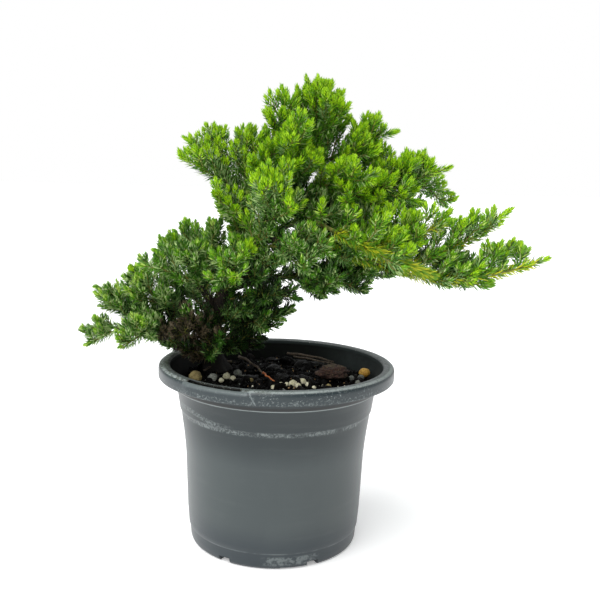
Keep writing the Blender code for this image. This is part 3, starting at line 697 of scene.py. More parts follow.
def wet_mix(net):
    """Moist peat and bark dust, near black where it is wettest."""
    place = net.place()
    rough = net.cloud(place, 0.45, 6, 0.7)
    fibre = net.cloud(net.stretched(place, (0.5, 2.0, 1.0)), 0.5, 4, 0.6, 1.5)
    wet = rough * 0.7 + fibre * 0.3
    return {
        "Base Color": net.ramp(wet, (0.3, (2, 2, 2)), (0.58, (7, 6, 5)), (0.85, (30, 24, 18))),
        "Roughness": net.step(rough, 0.3, 0.7, 0.4, 0.95),
        "Normal": bump(net, rough + 0.4 * fibre, 1.0),
    }


def bark_chip(net):
    """Broken bark, each crumb lighter or darker along its grain."""
    place = net.place()
    grain = net.cloud(net.stretched(place, (1.0, 0.35, 1.0)), 1.2, 4, 0.6)
    tint = net.cloud(place, 0.16, 1, 0.5)
    colour = net.ramp(grain * 0.5 + tint * 0.5, (0.36, (2, 2, 2)), (0.60, (7, 6, 5)), (0.84, (54, 42, 32)))
    return {"Base Color": colour, "Roughness": 0.30 + 0.4 * grain, "Normal": bump(net, grain, 0.4)}


# Porous grains, each as its dark and its light colour and how deep its pits are
STONES = {
    "pumice_grain": ((150, 146, 128), (214, 210, 190), 0.4),
    "grey_grit": ((70, 74, 74), (130, 134, 130), 0.3),
    "tan_grit": ((96, 74, 48), (160, 128, 88), 0.3),
    "perlite": ((178, 174, 140), (226, 222, 196), 0.5),
    "pumice": ((88, 92, 88), (150, 152, 142), 0.5),
    "tan_clay": ((104, 92, 56), (156, 140, 92), 0.5),
}


def stone(name):
    """The finish of one of the porous grains."""
    dark, light, pits = STONES[name]

    def build(net):
        place = net.place()
        grain = net.cloud(place, 1.5, 4, 0.65)
        tint = net.cloud(place, 0.3, 1, 0.5)
        colour = net.mix(net.step(grain * 0.6 + tint * 0.4, 0.36, 0.62), dark, light)
        return {"Base Color": colour, "Roughness": 0.9, "Normal": bump(net, grain, pits)}

    return finish_of(name, build)


def bark(net):
    """Dark brown juniper bark in long shredding flakes, grey where it has weathered, with painted shade near
    black towards its foot.
    """
    place = net.place()
    _, _, z = net.xyz(place)
    flakes = net.cloud(net.stretched(place, (1.0, 1.0, 0.16)), 0.9, 5, 0.65, 0.6)
    lichen = net.cloud(place, 0.22, 4, 0.6)
    colour = net.ramp(flakes, (0.28, (12, 9, 7)), (0.5, (38, 29, 22)), (0.74, (92, 78, 62)))
    colour = net.mix(net.step(lichen, 0.58, 0.72) * 0.4, colour, (96, 98, 78))
    # painted shade: the bark darkened towards the trunk's foot
    colour = net.mix(net.step(z, 136, 104) * 0.85, colour, (9, 8, 7))
    return {"Base Color": colour, "Roughness": 0.88, "Normal": bump(net, flakes, 0.7)}


def green_twig(net):
    """This year's twigs, still green under their needles and turning straw brown."""
    tint = net.cloud(net.place(), 0.5, 3, 0.6)
    colour = net.mix(net.step(tint, 0.35, 0.65), (92, 112, 40), (136, 128, 60))
    return {"Base Color": colour, "Roughness": 0.6}


def brown_twig(net):
    """Older twigs and dead ones, in thin brown bark."""
    tint = net.cloud(net.place(), 0.8, 4, 0.65)
    colour = net.mix(net.step(tint, 0.35, 0.65), (52, 38, 26), (116, 90, 60))
    return {"Base Color": colour, "Roughness": 0.85, "Normal": bump(net, tint, 0.3)}


def lava_stone(net):
    """Porous red-brown lava, with ochre patches and pale crumbs in its pits."""
    place = net.place()
    grain = net.cloud(place, 0.9, 5, 0.7)
    tint = net.cloud(place, 0.18, 2, 0.5)
    colour = net.mix(net.step(grain, 0.35, 0.65), (32, 20, 16), (74, 48, 38))
    colour = net.mix(net.step(tint, 0.5, 0.7) * 0.6, colour, (84, 74, 52))
    crumbs = net.step(net.cloud(place, 1.9, 2, 0.5), 0.66, 0.72)
    colour = net.mix(crumbs * 0.7, colour, (176, 150, 112))
    return {"Base Color": colour, "Roughness": 0.92, "Normal": bump(net, grain, 0.9)}


def ochre_coat(net):
    """The pellet's dull yellow coat."""
    grain = net.cloud(net.place(), 0.7, 4, 0.6)
    colour = net.mix(net.step(grain, 0.35, 0.7), (178, 128, 38), (216, 172, 78))
    return {"Base Color": colour, "Roughness": 0.5 + 0.3 * grain, "Normal": bump(net, grain, 0.25)}


def old_root(net):
    """Roots and twigs that have lain on the mix and gone grey brown."""
    grain = net.cloud(net.place(), 1.6, 4, 0.6)
    colour = net.mix(net.step(grain, 0.35, 0.65), (44, 36, 29), (104, 90, 74))
    return {"Base Color": colour, "Roughness": 0.85, "Normal": bump(net, grain, 0.3)}


def young_root(net):
    """A fresh root, orange brown and smooth."""
    grain = net.cloud(net.place(), 1.2, 3, 0.6)
    colour = net.mix(net.step(grain, 0.35, 0.65), (128, 66, 30), (186, 108, 58))
    return {"Base Color": colour, "Roughness": 0.6}


def paper_floor(net):
    """A pale floor, a little uneven so that it isn't dead flat."""
    tint = net.cloud(net.place(), 0.004, 2, 0.5)
    return {"Base Color": net.mix(tint, (248, 248, 248), (254, 254, 254)), "Roughness": 0.9}


# Shapes


def new_object(name, mesh, finishes=()):
    made = bpy.data.objects.new(name, mesh)
    bpy.context.scene.collection.objects.link(made)
    for finish in finishes:
        mesh.materials.append(finish)
    return made


def new_mesh(name, points, faces=(), edges=()):
    """A mesh of these points, given in millimetres and stored in metres."""
    mesh = bpy.data.meshes.new(name)
    mesh.from_pydata([Vector(point) * MM for point in points], edges, faces)
    mesh.update()
    return mesh


def mesh_of(name, bm):
    """A new mesh with the shape that was built up in bm, which is then let go."""
    mesh = bpy.data.meshes.new(name)
    bm.to_mesh(mesh)
    bm.free()
    return mesh


def applied(thing):
    """Puts the evaluated mesh in place of the object's own, with no modifier left."""
    graph = bpy.context.evaluated_depsgraph_get()
    mesh = bpy.data.meshes.new_from_object(thing.evaluated_get(graph))
    thing.modifiers.clear()
    thing.data = mesh
    return thing


def keep(thing, slot, *nodes):
    """Makes a finished piece part of the plant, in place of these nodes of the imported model."""
    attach(thing, BODY)
    if nodes:
        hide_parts(*nodes)


def bezier(points, share):
    """A point on the Bezier curve of any order through these control points."""
    points = [Vector(point) for point in points]
    while len(points) > 1:
        points = [one.lerp(two, share) for one, two in zip(points, points[1:])]
    return points[0]


def tangent(points, share):
    """The unit direction of a Bezier curve at this share of it."""
    step = 0.01
    ahead = bezier(points, min(1, share + step))
    behind = bezier(points, max(0, share - step))
    return (ahead - behind).normalized()


def ring_frame(direction):
    """Two unit vectors across a direction, which turn steadily as it does."""
    side = direction.cross(Vector((0.3, 1, 0.2))).normalized()
    return side, direction.cross(side).normalized()


def loft(rings):
    """The points and faces of a closed skin over rings with as many points each."""
    points = [point for ring in rings for point in ring]
    count = len(rings[0])
    faces = [tuple(reversed(range(count)))]
    for level in range(len(rings) - 1):
        low, high = level * count, (level + 1) * count
        for i in range(count):
            j = (i + 1) % count
            faces.append((low + i, low + j, high + j, high + i))
    faces.append(tuple(range(len(points) - count, len(points))))
    return points, faces


def circle(centre, direction, radius, sides):
    side, over = ring_frame(direction)
    turns = [math.tau * step / sides for step in range(sides)]
    return [centre + radius * (math.cos(turn) * side + math.sin(turn) * over) for turn in turns]


# Geometry node trees


def new_tree(name, sizes):
    """A Geometry Nodes tree that takes geometry and these named sizes, and its two ends."""
    tree = bpy.data.node_groups.new(name, "GeometryNodeTree")
    tree.interface.new_socket("Geometry", in_out="INPUT", socket_type="NodeSocketGeometry")
    for label, value in sizes.items():
        kind = "NodeSocketInt" if isinstance(value, int) else "NodeSocketFloat"
        socket = tree.interface.new_socket(label, in_out="INPUT", socket_type=kind)
        socket.default_value = value
    tree.interface.new_socket("Geometry", in_out="OUTPUT", socket_type="NodeSocketGeometry")
    net = Net(tree)
    entry = net.node("NodeGroupInput", out="Geometry").socket.node
    inputs = {label: Wire(net, pick(entry.outputs, label)) for label in ("Geometry", *sizes)}
    return net, inputs


def close_tree(net, geometry):
    net.node("NodeGroupOutput", None, {"Geometry": geometry})
    return net.tree


# What points carry for a tree to read, and a finished mesh has no use for
CARRIED = ("heading", "shaft", "reach", "girth", "finish")


def grown(thing, tree, sizes=None):
    """The plain mesh that a tree makes of this object, with nothing left live on it."""
    growth = thing.modifiers.new(tree.name, "NODES")
    growth.node_group = tree
    sockets = {item.name: item.identifier for item in tree.interface.items_tree if item.in_out == "INPUT"}
    for label, value in (sizes or {}).items():
        growth[sockets[label]] = value
    applied(thing)
    attributes = thing.data.attributes
    for name in [name for name in CARRIED if name in attributes]:
        attributes.remove(attributes[name])
    return thing


def attribute(net, name, kind="FLOAT"):
    return net.node("GeometryNodeInputNamedAttribute", {"data_type": kind}, {"Name": name}, "Attribute")


def finished_by_number(net, geometry, finishes):
    """Gives each face the material that its finish number names."""
    number = attribute(net, "finish", "INT")
    for count, finish in enumerate(finishes):
        settings = {"data_type": "INT", "operation": "EQUAL"}
        chosen = net.node("FunctionNodeCompare", settings, {"A": number, "B": count})
        sockets = {"Geometry": geometry, "Selection": chosen, "Material": finish}
        geometry = net.node("GeometryNodeSetMaterial", None, sockets)
    return geometry


def on_points(net, points, shape, rotation, scale):
    """A real copy of the shape on every point."""
    sockets = {"Points": points, "Instance": shape, "Rotation": rotation, "Scale": scale}
    placed = net.node("GeometryNodeInstanceOnPoints", None, sockets)
    return net.node("GeometryNodeRealizeInstances", None, {"Geometry": placed})


def random_value(net, kind, low, high, seed):
    sockets = {"Min": low, "Max": high, "Seed": seed}
    return net.node("FunctionNodeRandomValue", {"data_type": kind}, sockets, "Value")


def needle_tree(finishes):
    """One awl-shaped needle on every point, along its heading, with its flat side to the shoot."""
    net, inputs = new_tree("needles_on_shoots", {"Thickness": 0.55, "Widest At": 0.34, "Bow": 0.16})
    ball = net.node("GeometryNodeMeshUVSphere", None, {"Segments": 3, "Rings": 2, "Radius": 1.0}, "Mesh")
    x, y, z = net.xyz(net.node("GeometryNodeInputPosition"))
    middle = 1.0 - z * z
    place = net.vector(
        x * 0.5,
        y * 0.5 * inputs["Thickness"] - middle * inputs["Bow"],
        inputs["Widest At"] + 0.5 * z + (0.5 - inputs["Widest At"]) * z * z,
    )
    needle = net.node("GeometryNodeSetPosition", None, {"Geometry": ball, "Position": place})
    heading = net.node(
        "FunctionNodeAlignRotationToVector",
        {"axis": "Z"},
        {"Vector": attribute(net, "heading", "FLOAT_VECTOR")},
    )
    facing = net.node(
        "FunctionNodeAlignRotationToVector",
        {"axis": "Y", "pivot_axis": "Z"},
        {"Rotation": heading, "Vector": attribute(net, "shaft", "FLOAT_VECTOR")},
    )
    girth = attribute(net, "girth")
    size = net.vector(girth, girth, attribute(net, "reach"))
    real = on_points(net, inputs["Geometry"], needle, facing, size)
    return close_tree(net, finished_by_number(net, real, finishes))


def twig_tree(finishes):
    """A round tapering twig along every line, as thick as the girth on its points."""
    net, inputs = new_tree("twigs_on_lines", {"Sides": 5})
    line = net.node("GeometryNodeMeshToCurve", None, {"Mesh": inputs["Geometry"]})
    ring = net.node("GeometryNodeCurvePrimitiveCircle", None, {"Resolution": inputs["Sides"], "Radius": 1.0})
    skin = net.node(
        "GeometryNodeCurveToMesh",
        None,
        {"Curve": line, "Profile Curve": ring, "Scale": attribute(net, "girth"), "Fill Caps": True},
    )
    return close_tree(net, finished_by_number(net, skin, finishes))


# The sizes of a tree of strewn crumbs: how many lie on a square metre, and the rest in millimetres and shares
CRUMB_SIZES = {"Density": 4e4, "Smallest": 0.4, "Largest": 1.2, "Flatness": 0.7, "Dent": 0.3, "Seed": 1}
CRUMB_WIDTH = 0.8
CRUMB_TURNS = (6.28, 6.28, 6.28)
DENTS_A_METRE = 700.0


def crumb_tree(finish):
    """Loose crumbs strewn over a surface, each turned, stretched and dented its own way."""
    net, inputs = new_tree("strewn_" + finish.name, CRUMB_SIZES)
    sockets = {"Mesh": inputs["Geometry"], "Density": inputs["Density"], "Seed": inputs["Seed"]}
    strewn = net.node("GeometryNodeDistributePointsOnFaces", None, sockets, "Points")
    ball = net.node("GeometryNodeMeshIcoSphere", None, {"Radius": MM, "Subdivisions": 2}, "Mesh")
    turns = random_value(net, "FLOAT_VECTOR", (0, 0, 0), CRUMB_TURNS, inputs["Seed"] + 1)
    size = random_value(net, "FLOAT", inputs["Smallest"], inputs["Largest"], inputs["Seed"] + 2)
    squash = net.vector(size, size * CRUMB_WIDTH, size * inputs["Flatness"])
    rotation = net.node("FunctionNodeEulerToRotation", None, {"Euler": turns})
    real = on_points(net, strewn, ball, rotation, squash)
    place = net.node("GeometryNodeInputPosition")
    sockets = {"Vector": place, "Scale": DENTS_A_METRE, "Detail": 2.0}
    lumps = net.node("ShaderNodeTexNoise", None, sockets, "Color")
    shifted = net.node("ShaderNodeVectorMath", {"operation": "SUBTRACT"}, {0: lumps, 1: (0.5, 0.5, 0.5)})
    depth = inputs["Dent"] * 2 * MM
    dented = net.node("ShaderNodeVectorMath", {"operation": "SCALE"}, {0: shifted, "Scale": depth})
    real = net.node("GeometryNodeSetPosition", None, {"Geometry": real, "Offset": dented})
    return close_tree(net, net.node("GeometryNodeSetMaterial", None, {"Geometry": real, "Material": finish}))


# Limbs and the growth rule, as in the solids


def bough_curve(bough):
    start = bezier(TRUNK_CURVE, bough.at)
    end = Vector(bough.end)
    return start, start.lerp(end, 0.5) + UP * 2 * bough.bow, end


def limb_table():
    """Every limb's control points and its radii at foot and tip, by its name."""
    limbs = {"trunk": (TRUNK_CURVE, TRUNK_FOOT, TRUNK_TIP)}
    for bough in BOUGHS:
        limbs[bough.name] = (bough_curve(bough), bough.foot, bough.tip)
    return limbs


LIMBS = limb_table()


def limb_radius(name, share):
    _, foot, tip = LIMBS[name]
    return foot + (tip - foot) * share


def wobble(*keys):
    """A steady pseudo-random number from -1 to 1 for these keys."""
    mixed = sum((position + 1) * 12.9898 * key for position, key in enumerate(keys)) + 4.137
    return 2 * ((math.sin(mixed) * 43758.5453) % 1) - 1


def stem_curve(mass):
    """The stem's control points, from the middle of its limb to the mass's tip."""
    points = LIMBS[mass.limb][0]
    root = bezier(points, mass.at)
    tip = Vector(mass.tip)
    if mass.at == 1:
        root += tangent(points, 1) * CLEAR
        return root, root + tangent(points, 1) * 0.4 * (tip - root).length, tip
    return root, root.lerp(tip, 0.5) + UP * mass.lift * (tip - root).length, tip


STEMS = {mass.name: stem_curve(mass) for mass in MASSES}


def depth_in(mass, point):
    """How far out a point is in a mass's egg-shaped space: 0 in its middle and 1 at its skin."""
    root, _, tip = STEMS[mass.name]
    axis = tip - root
    along = (point - root).dot(axis) / axis.length_squared
    across = (point - root - along * axis).length
    return math.hypot((along - EGG_MIDDLE) / EGG_REACH, across / mass.spread)


def own_space(mass, point):
    """Whether a point lies in this mass's space and no nearer the middle of another's."""
    mine = depth_in(mass, point)
    if mine > 1:
        return False
    return all(mine <= depth_in(other, point) + SHARED for other in MASSES if other is not mass)


def way_out(mass, start, direction, longest):
    """How far one can go from start before leaving the mass's egg."""
    step = 1.0
    reach = 0.0
    while reach < longest and depth_in(mass, start + direction * (reach + step)) < 1:
        reach += step
    return reach


Spray = namedtuple("Spray", "line radius bare turn")


def straight(start, end):
    return [start, start.lerp(end, 0.5), end]


def length_of(line):
    steps = [bezier(line, step / 8) for step in range(9)]
    return sum((two - one).length for one, two in zip(steps, steps[1:]))


def whorls(spray):
    """Where each tier of a spray's outline sits along it, as (share of its length, reach)."""
    length = length_of(spray.line)
    count = max(2, round(length * (1 - spray.bare) / WHORL_PITCH))
    found = []
    for number in range(count):
        share = spray.bare + (1 - spray.bare) * (number + 0.3) / (count + 0.25)
        slim = 1 - NEEDLE_SLIM * number / count
        found.append((share, NEEDLE_REACH * slim, NEEDLE_RISE * slim / length))
    return found


def across(spray, share, step, radius):
    """The point this far out from a spray's line, at one of six turns round it."""
    forward = tangent(spray.line, share)
    side, over = ring_frame(forward)
    turn = spray.turn + math.tau * step / 6
    return bezier(spray.line, share) + radius * (math.cos(turn) * side + math.sin(turn) * over)


def spray_shape(spray, grow=0.0):
    """The outline of a spray: a three-sided foot, then tiers of spikes, and a tip."""
    points = []
    for share in (0, spray.bare * 0.8):
        points += [across(spray, share, step, spray.radius + grow) for step in (0, 2, 4)]
    faces = [(2, 1, 0)]
    for i in range(3):
        j = (i + 1) % 3
        neck, left, spike, right = 3 + i, 6 + (2 * i - 1) % 6, 6 + 2 * i, 7 + 2 * i
        faces += [(i, j, 3 + j), (i, 3 + j, neck)]
        faces += [(neck, spike, left), (neck, right, spike), (neck, 3 + j, right)]
    tiers = whorls(spray)
    for number, (share, reach, rise) in enumerate(tiers):
        core = spray.radius * CORE_SHARE * (1 - 0.35 * number / len(tiers)) + grow
        for step in range(6):
            if (step + number) % 2:
                points.append(across(spray, share, step, core))
            else:
                points.append(across(spray, min(0.98, share + rise), step, reach + grow))
    for number in range(len(tiers) - 1):
        low, high = 6 + 6 * number, 12 + 6 * number
        for i in range(6):
            j = (i + 1) % 6
            if (i + number) % 2:
                faces += [(low + i, low + j, high + j), (low + i, high + j, high + i)]
            else:
                faces += [(low + i, low + j, high + i), (low + j, high + j, high + i)]
    last, tip = len(points) - 6, len(points)
    points.append(spray.line[-1] + grow * tangent(spray.line, 1))
    faces += [(last + i, last + (i + 1) % 6, tip) for i in range(6)]
    return points, faces


class Space:
    """The shapes of every limb and spray placed so far, so that a new spray stays off them."""

    def __init__(self):
        self.placed = []

    def bounds(self, shape):
        middle = sum(shape[0], Vector()) / len(shape[0])
        return middle, max((point - middle).length for point in shape[0])

    def add(self, owner, shape, line=None):
        self.placed.append((owner, *self.bounds(shape), BVHTree.FromPolygons(*shape), line))

    def touched(self, spray):
        """The names of what a spray with its clearance would touch."""
        shape = spray_shape(spray, CLEAR)
        middle, reach = self.bounds(shape)
        tree = BVHTree.FromPolygons(*shape)
        near = [other for other in self.placed if (middle - other[1]).length < reach + other[2]]
        return {owner for owner, _, _, placed, _ in near if tree.overlap(placed)}

    def crowded(self, owner, spray):
        """Whether a spray's outer part comes too near another of the same mass."""
        lines = [line for other, _, _, _, line in self.placed if other == owner]
        return any(nearest(spray.line, line) < CROWDED for line in lines)


def nearest(line, other):
    """How near the outer part of one line comes to the outer part of another."""
    mine = [bezier(line, share) for share in (0.5, 0.75, 1)]
    return min((one - bezier(other, step / 8)).length for one in mine for step in range(2, 9))


def over_the_pot(spray):
    """Whether a spray is clear of the pot's rim and of the mix inside it."""
    for point in spray_shape(spray, CLEAR)[0]:
        out = math.hypot(point.x, point.y)
        over_mix = out < MOUTH_RADIUS - MIX_MARGIN and point.z > SOIL_LEVEL + SOIL_HEAVE + POT_GAP
        if not (point.z > RIM_TOP + POT_GAP or over_mix or out > RIM_RADIUS + POT_GAP):
            return False
    return True


def stem_spray(mass, space):
    """The stem of a mass, its foot left bare for as far as needles would touch what is near."""
    line = STEMS[mass.name]
    for bare in STEM_BARES:
        stem = Spray(line, STEM_RADIUS, bare, 0.0)
        outer = [bezier(line, bare), line[1].lerp(line[2], bare), line[2]]
        near = space.touched(stem) - {mass.limb} | space.touched(Spray(outer, STEM_RADIUS, 0.02, 0.0))
        if not near:
            break
    return stem


def twig_spray(mass, number, scale, swing):
    """The side twig of this number, by the golden angle, as long as the mass's space lets it be."""
    stem = STEMS[mass.name]
    share = TWIG_FIRST + TWIG_SPAN * ((number + 1) * GOLDEN_SHARE % 1)
    foot = bezier(stem, share)
    forward = tangent(stem, share)
    side, over = ring_frame(forward)
    turn = number * GOLDEN_TURN + 0.35 * wobble(number, mass.spread) + swing
    out = math.cos(turn) * side + math.sin(turn) * over
    lean = math.cos(TWIG_PITCH) * forward + math.sin(TWIG_PITCH) * out + TWIG_LIFT * UP
    lean.normalize()
    length = scale * way_out(mass, foot, lean, TWIG_LONGEST)
    if length < TWIG_SHORTEST:
        return None
    end = foot + lean * length
    middle = foot.lerp(end, 0.5) - UP * 0.06 * length
    return Spray([foot, middle, end], TWIG_RADIUS, TWIG_BARE, turn)


def fork_spray(mass, twig, number, scale, swing):
    """A side shoot of a twig, to one side and then the other as the twigs go round."""
    foot = bezier(twig.line, FORK_AT)
    forward = tangent(twig.line, FORK_AT)
    side, over = ring_frame(forward)
    turn = number * 2.4 + swing
    out = math.cos(turn) * side + math.sin(turn) * over
    lean = (math.cos(FORK_TURN) * forward + math.sin(FORK_TURN) * out + 0.2 * UP).normalized()
    length = scale * min(0.7 * length_of(twig.line), way_out(mass, foot, lean, TWIG_LONGEST))
    if length < FORK_SHORTEST:
        return None
    return Spray(straight(foot, foot + lean * length), TWIG_RADIUS * 0.9, TWIG_BARE, turn)


def settle(mass, space, offer):
    """The first of the tries that keeps to the mass's space and clear of everything else."""
    for scale, swing in TRIES:
        spray = offer(scale, swing)
        if not spray or not own_space(mass, spray.line[-1]) or not over_the_pot(spray):
            continue
        if space.touched(spray) <= {mass.name} and not space.crowded(mass.name, spray):
            space.add(mass.name, spray_shape(spray), spray.line)
            return spray
    return None


def sleeve(name):
    """The shape of a limb with its clearance round it."""
    points = LIMBS[name][0]
    shares = [step / 10 for step in range(11)]
    return loft([
        circle(bezier(points, share), tangent(points, share), limb_radius(name, share) + CLEAR, 8)
        for share in shares
    ])


def choose():
    """Every mass's stem, twigs and forks, each kept off the limbs and the other masses."""
    space = Space()
    for name in LIMBS:
        space.add(name, sleeve(name))
    kept = {}
    for mass in MASSES:
        stem = stem_spray(mass, space)
        kept[mass.name] = [stem]
        space.add(mass.name, spray_shape(stem), stem.line)
    for number in range(max(mass.twigs for mass in MASSES)):
        for mass in MASSES:
            if number < mass.twigs:
                twig = settle(mass, space, lambda scale, swing: twig_spray(mass, number, scale, swing))
                if twig:
                    kept[mass.name].append(twig)
    for mass in MASSES:
        for number, twig in enumerate(kept[mass.name][1 : 1 + FORKED]):
            fork = settle(mass, space, lambda scale, swing: fork_spray(mass, twig, number, scale, swing))
            if fork:
                kept[mass.name].append(fork)
    return kept


# The finer growth

# The masses and limbs that are joined into one piece, and how fresh, how grey and how upturned their
# growth is, how crowded its shoots are and whether its stems are straw-coloured
Group = namedtuple("Group", "masses limbs fresh grey bend crowding straw", defaults=(1.0, False))
GROUPS = {
    "crown": Group(
        ("crown_top", "crown_left", "crown_low_left", "crown_right", "crown_front"),
        ("trunk",),
        fresh=1.0,
        grey=0.15,
        bend=1.1,
    ),
    "upper_left": Group(
        ("upper_left_tip", "upper_left_top", "left_shoulder", "upper_left_low"),
        ("upper_left_bough",),
        fresh=1.20,
        grey=0.75,
        bend=1.1,
    ),
    "right": Group(
        ("right_shoulder", "right_low", "right_mid", "front_right"),
        ("right_bough",),
        fresh=0.86,
        grey=0.35,
        bend=1.0,
    ),
    "heart": Group(
        ("heart", "heart_low", "heart_right", "belly", "front_inner"),
        ("front_bough",),
        fresh=0.88,
        grey=0.60,
        bend=1.25,
    ),
    "arm": Group(
        ("arm_near", "arm_fork", "arm_tip", "arm_root", "arm_skirt", "inner_right"),
        ("arm_bough",),
        fresh=0.76,
        grey=0.50,
        bend=0.6,
        crowding=1.15,
        straw=True,
    ),
    "left": Group(
        ("left_mid", "left_high", "left_front", "left_back", "front_low", "foot_tuft"),
        ("left_bough",),
        fresh=0.56,
        grey=0.75,
        bend=0.85,
    ),
    "low_left": Group(
        ("left_low_tip", "left_low_top", "left_low_high", "left_low_front"),
        ("low_left_bough",),
        fresh=0.70,
        grey=1.0,
        bend=1.1,
        crowding=1.1,
    ),
    "under": Group(
        ("low_centre", "low_inner", "low_front", "under_right", "under_mid", "front_foot", "right_foot"),
        ("under_bough",),
        fresh=0.46,
        grey=0.62,
        bend=0.9,
        crowding=1.4,
    ),
    "rear": Group(
        ("rear_mid", "rear_top", "rear_right", "rear_left", "rear_low"),
        ("rear_left_bough", "rear_right_bough"),
        fresh=0.66,
        grey=0.40,
        bend=1.25,
        crowding=0.9,
    ),
}

# Finer twigs that reach into the space between the masses: the limb each leaves, where on it, and its tip
WANDS = {
    "crown": (("trunk", 0.95, (31, 2, 241)), ("trunk", 0.80, (-9, 0, 222))),
    "right": (
        ("right_bough", 0.70, (50, -12, 178)),
        ("right_bough", 0.95, (66, 4, 204)),
        ("right_bough", 0.90, (76, 2, 184)),
    ),
    "arm": (
        ("arm_bough", 0.52, (54, -26, 180)),
        ("arm_bough", 0.76, (68, -28, 181)),
        ("arm_bough", 0.99, (104, -38, 148)),
    ),
    "low_left": (
        ("low_left_bough", 0.60, (-98, 3, 132)),
        ("low_left_bough", 0.80, (-76, -6, 126)),
        ("low_left_bough", 0.95, (-68, -10, 118)),
    ),
    "under": (
        ("trunk", 0.30, (8, -2, 126)),
        ("trunk", 0.24, (1, -6, 119)),
        ("under_bough", 0.90, (22, -4, 134)),
    ),
}
WAND_SAG = 0.08

# The stem that crosses the front of the crown on its way to the long arm
BRUSH_ON = "trunk"
BRUSH_AT = 0.86
BRUSH_BEND = Vector((36, -72, 167))
BRUSH_TIP = Vector((76, -42, 151))
BRUSH_CROWDING = 0.55

Shoot = namedtuple("Shoot", "line foot tip bare turn order key")


def bent(foot, lean, reach, lift):
    """A line that leaves its foot along lean and turns up towards its tip."""
    middle = foot + 0.5 * reach * lean
    return [foot, middle, middle + 0.5 * reach * (lean + lift * UP).normalized()]


def clear_of_pot(point):
    """Whether a shoot's tip stays above the rim, or above the mix inside it."""
    over_mix = math.hypot(point.x, point.y) < MOUTH_RADIUS - MOUTH_MARGIN
    return point.z > RIM_TOP + RIM_MARGIN or (over_mix and point.z > SOIL_LEVEL + SOIL_MARGIN)


def leaning_out(line, share, turn, pitch, lift):
    """Where a side shoot starts on a line, and the way it leaves."""
    forward = tangent(line, share)
    side, over = ring_frame(forward)
    out = math.cos(turn) * side + math.sin(turn) * over
    lean = math.cos(pitch) * forward + math.sin(pitch) * out + lift * UP
    return bezier(line, share), lean.normalized()


def wand_line(limb, share, tip):
    """The line of a long thin twig from a limb to its own tip, hung a little by its weight."""
    foot = bezier(LIMBS[limb][0], share)
    tip = Vector(tip)
    return [foot, foot.lerp(tip, 0.5) - WAND_SAG * (tip - foot).length * UP, tip]


def side_shoots(mass, spray, group, key):
    """Short shoots that leave a twig in turn, each shorter as they near its tip, with their own pairs."""
    length = length_of(spray.line)
    first = max(SHOOT_FIRST, SHOOT_IN_BARE * spray.bare)
    count = max(2, round(length * (SHOOT_LAST - first) / SHOOT_PITCH * group.crowding))
    found = []
    for number in range(count):
        at = number + 0.5 + SHOOT_STRAYS * wobble(number, key)
        share = first + (SHOOT_LAST - first) * at / count
        turn = spray.turn + number * GOLDEN_TURN + SHOOT_SWINGS * wobble(key, number)
        pitch = SHOOT_TURN * (1 + SHOOT_TILTS * wobble(number, key, 2))
        foot, lean = leaning_out(spray.line, share, turn, pitch, SHOOT_LIFT)
        reach = min(SHOOT_LONGEST, SHOOT_SHORTEST + SHOOT_SHARE * length * (1 - share))
        reach *= 1 + SHOOT_VARIES * wobble(key, number, 5)
        line = bent(foot, lean, reach, group.bend)
        outside = mass and depth_in(mass, line[2]) > SHOOT_EGG
        if outside or not clear_of_pot(line[2]):
            continue
        found.append(Shoot(line, *SIDE_BUILD, turn, "side", key + SIDE_KEY * number))
        if reach > PAIRED:
            found += pair_of(line, reach, turn, group.bend, key + SIDE_KEY * number)
    return found


def pair_of(line, reach, turn, bend, key):
    """The two small shoots that leave a side shoot opposite each other, so that it ends in three."""
    found = []
    for side in (0, 1):
        share = PAIR_AT + PAIR_STEP * side + PAIR_STRAYS * wobble(key, side)
        swing = turn + side * math.pi + PAIR_SWING
        foot, lean = leaning_out(line, share, swing, PAIR_TURN, PAIR_LIFT)
        length = reach * (1 - share) * (PAIR_REACH + PAIR_VARIES * wobble(key, side, 4))
        small = bent(foot, lean, length, bend)
        found.append(Shoot(small, *PAIR_BUILD, turn + PAIR_ROLL, "pair", key + PAIR_KEY * side))
    return found


def limb_shoots(name, key):
    """Shoots that clothe a limb where it runs through the crown, and the needles on its own outer part."""
    points = LIMBS[name][0]
    first, last, longest = CLOTHED[name]
    count = round(length_of(points) * (last - first) / LIMB_PITCH)
    found = []
    for number in range(count):
        share = first + (last - first) * (number + 0.5) / count
        turn = number * GOLDEN_TURN + wobble(key, number)
        foot, lean = leaning_out(points, share, turn, LIMB_TURN, LIMB_LIFT)
        reach = longest * (1 + LIMB_VARIES * wobble(key, number, 6))
        line = bent(foot, lean, reach, LIMB_BEND)
        if clear_of_pot(line[2]):
            found.append(Shoot(line, *LIMB_SIDE_BUILD, turn, "side", key + LIMB_KEY * number))
            found += pair_of(line, reach, turn, LIMB_BEND, key + LIMB_KEY * number)
    if name != "trunk":
        outer = [bezier(points, first), bezier(points[1:], first), points[2]]
        order = "brush" if name == "arm_bough" else "limb"
        found.append(Shoot(outer, limb_radius(name, first), limb_radius(name, 1), 0, 0, order, key))
    return found


def dry_shoots(key):
    """Short dead shoots about the foot of the trunk and of its lowest bough."""
    found = []
    for number in range(DRY_SHOOTS):
        name, first, last = DRY_ON[number % len(DRY_ON)]
        share = first + (last - first) * (number + 0.5) / DRY_SHOOTS
        turn = number * GOLDEN_TURN + wobble(key, number)
        foot, lean = leaning_out(LIMBS[name][0], share, turn, LIMB_TURN, DRY_LIFT)
        reach = DRY_REACH * (1 + DRY_VARIES * wobble(key, number, 9))
        line = bent(foot, lean, reach, DRY_BEND)
        if clear_of_pot(line[2]):
            found.append(Shoot(line, *DRY_BUILD, turn, "dry", key + DRY_KEY * number))
    return found


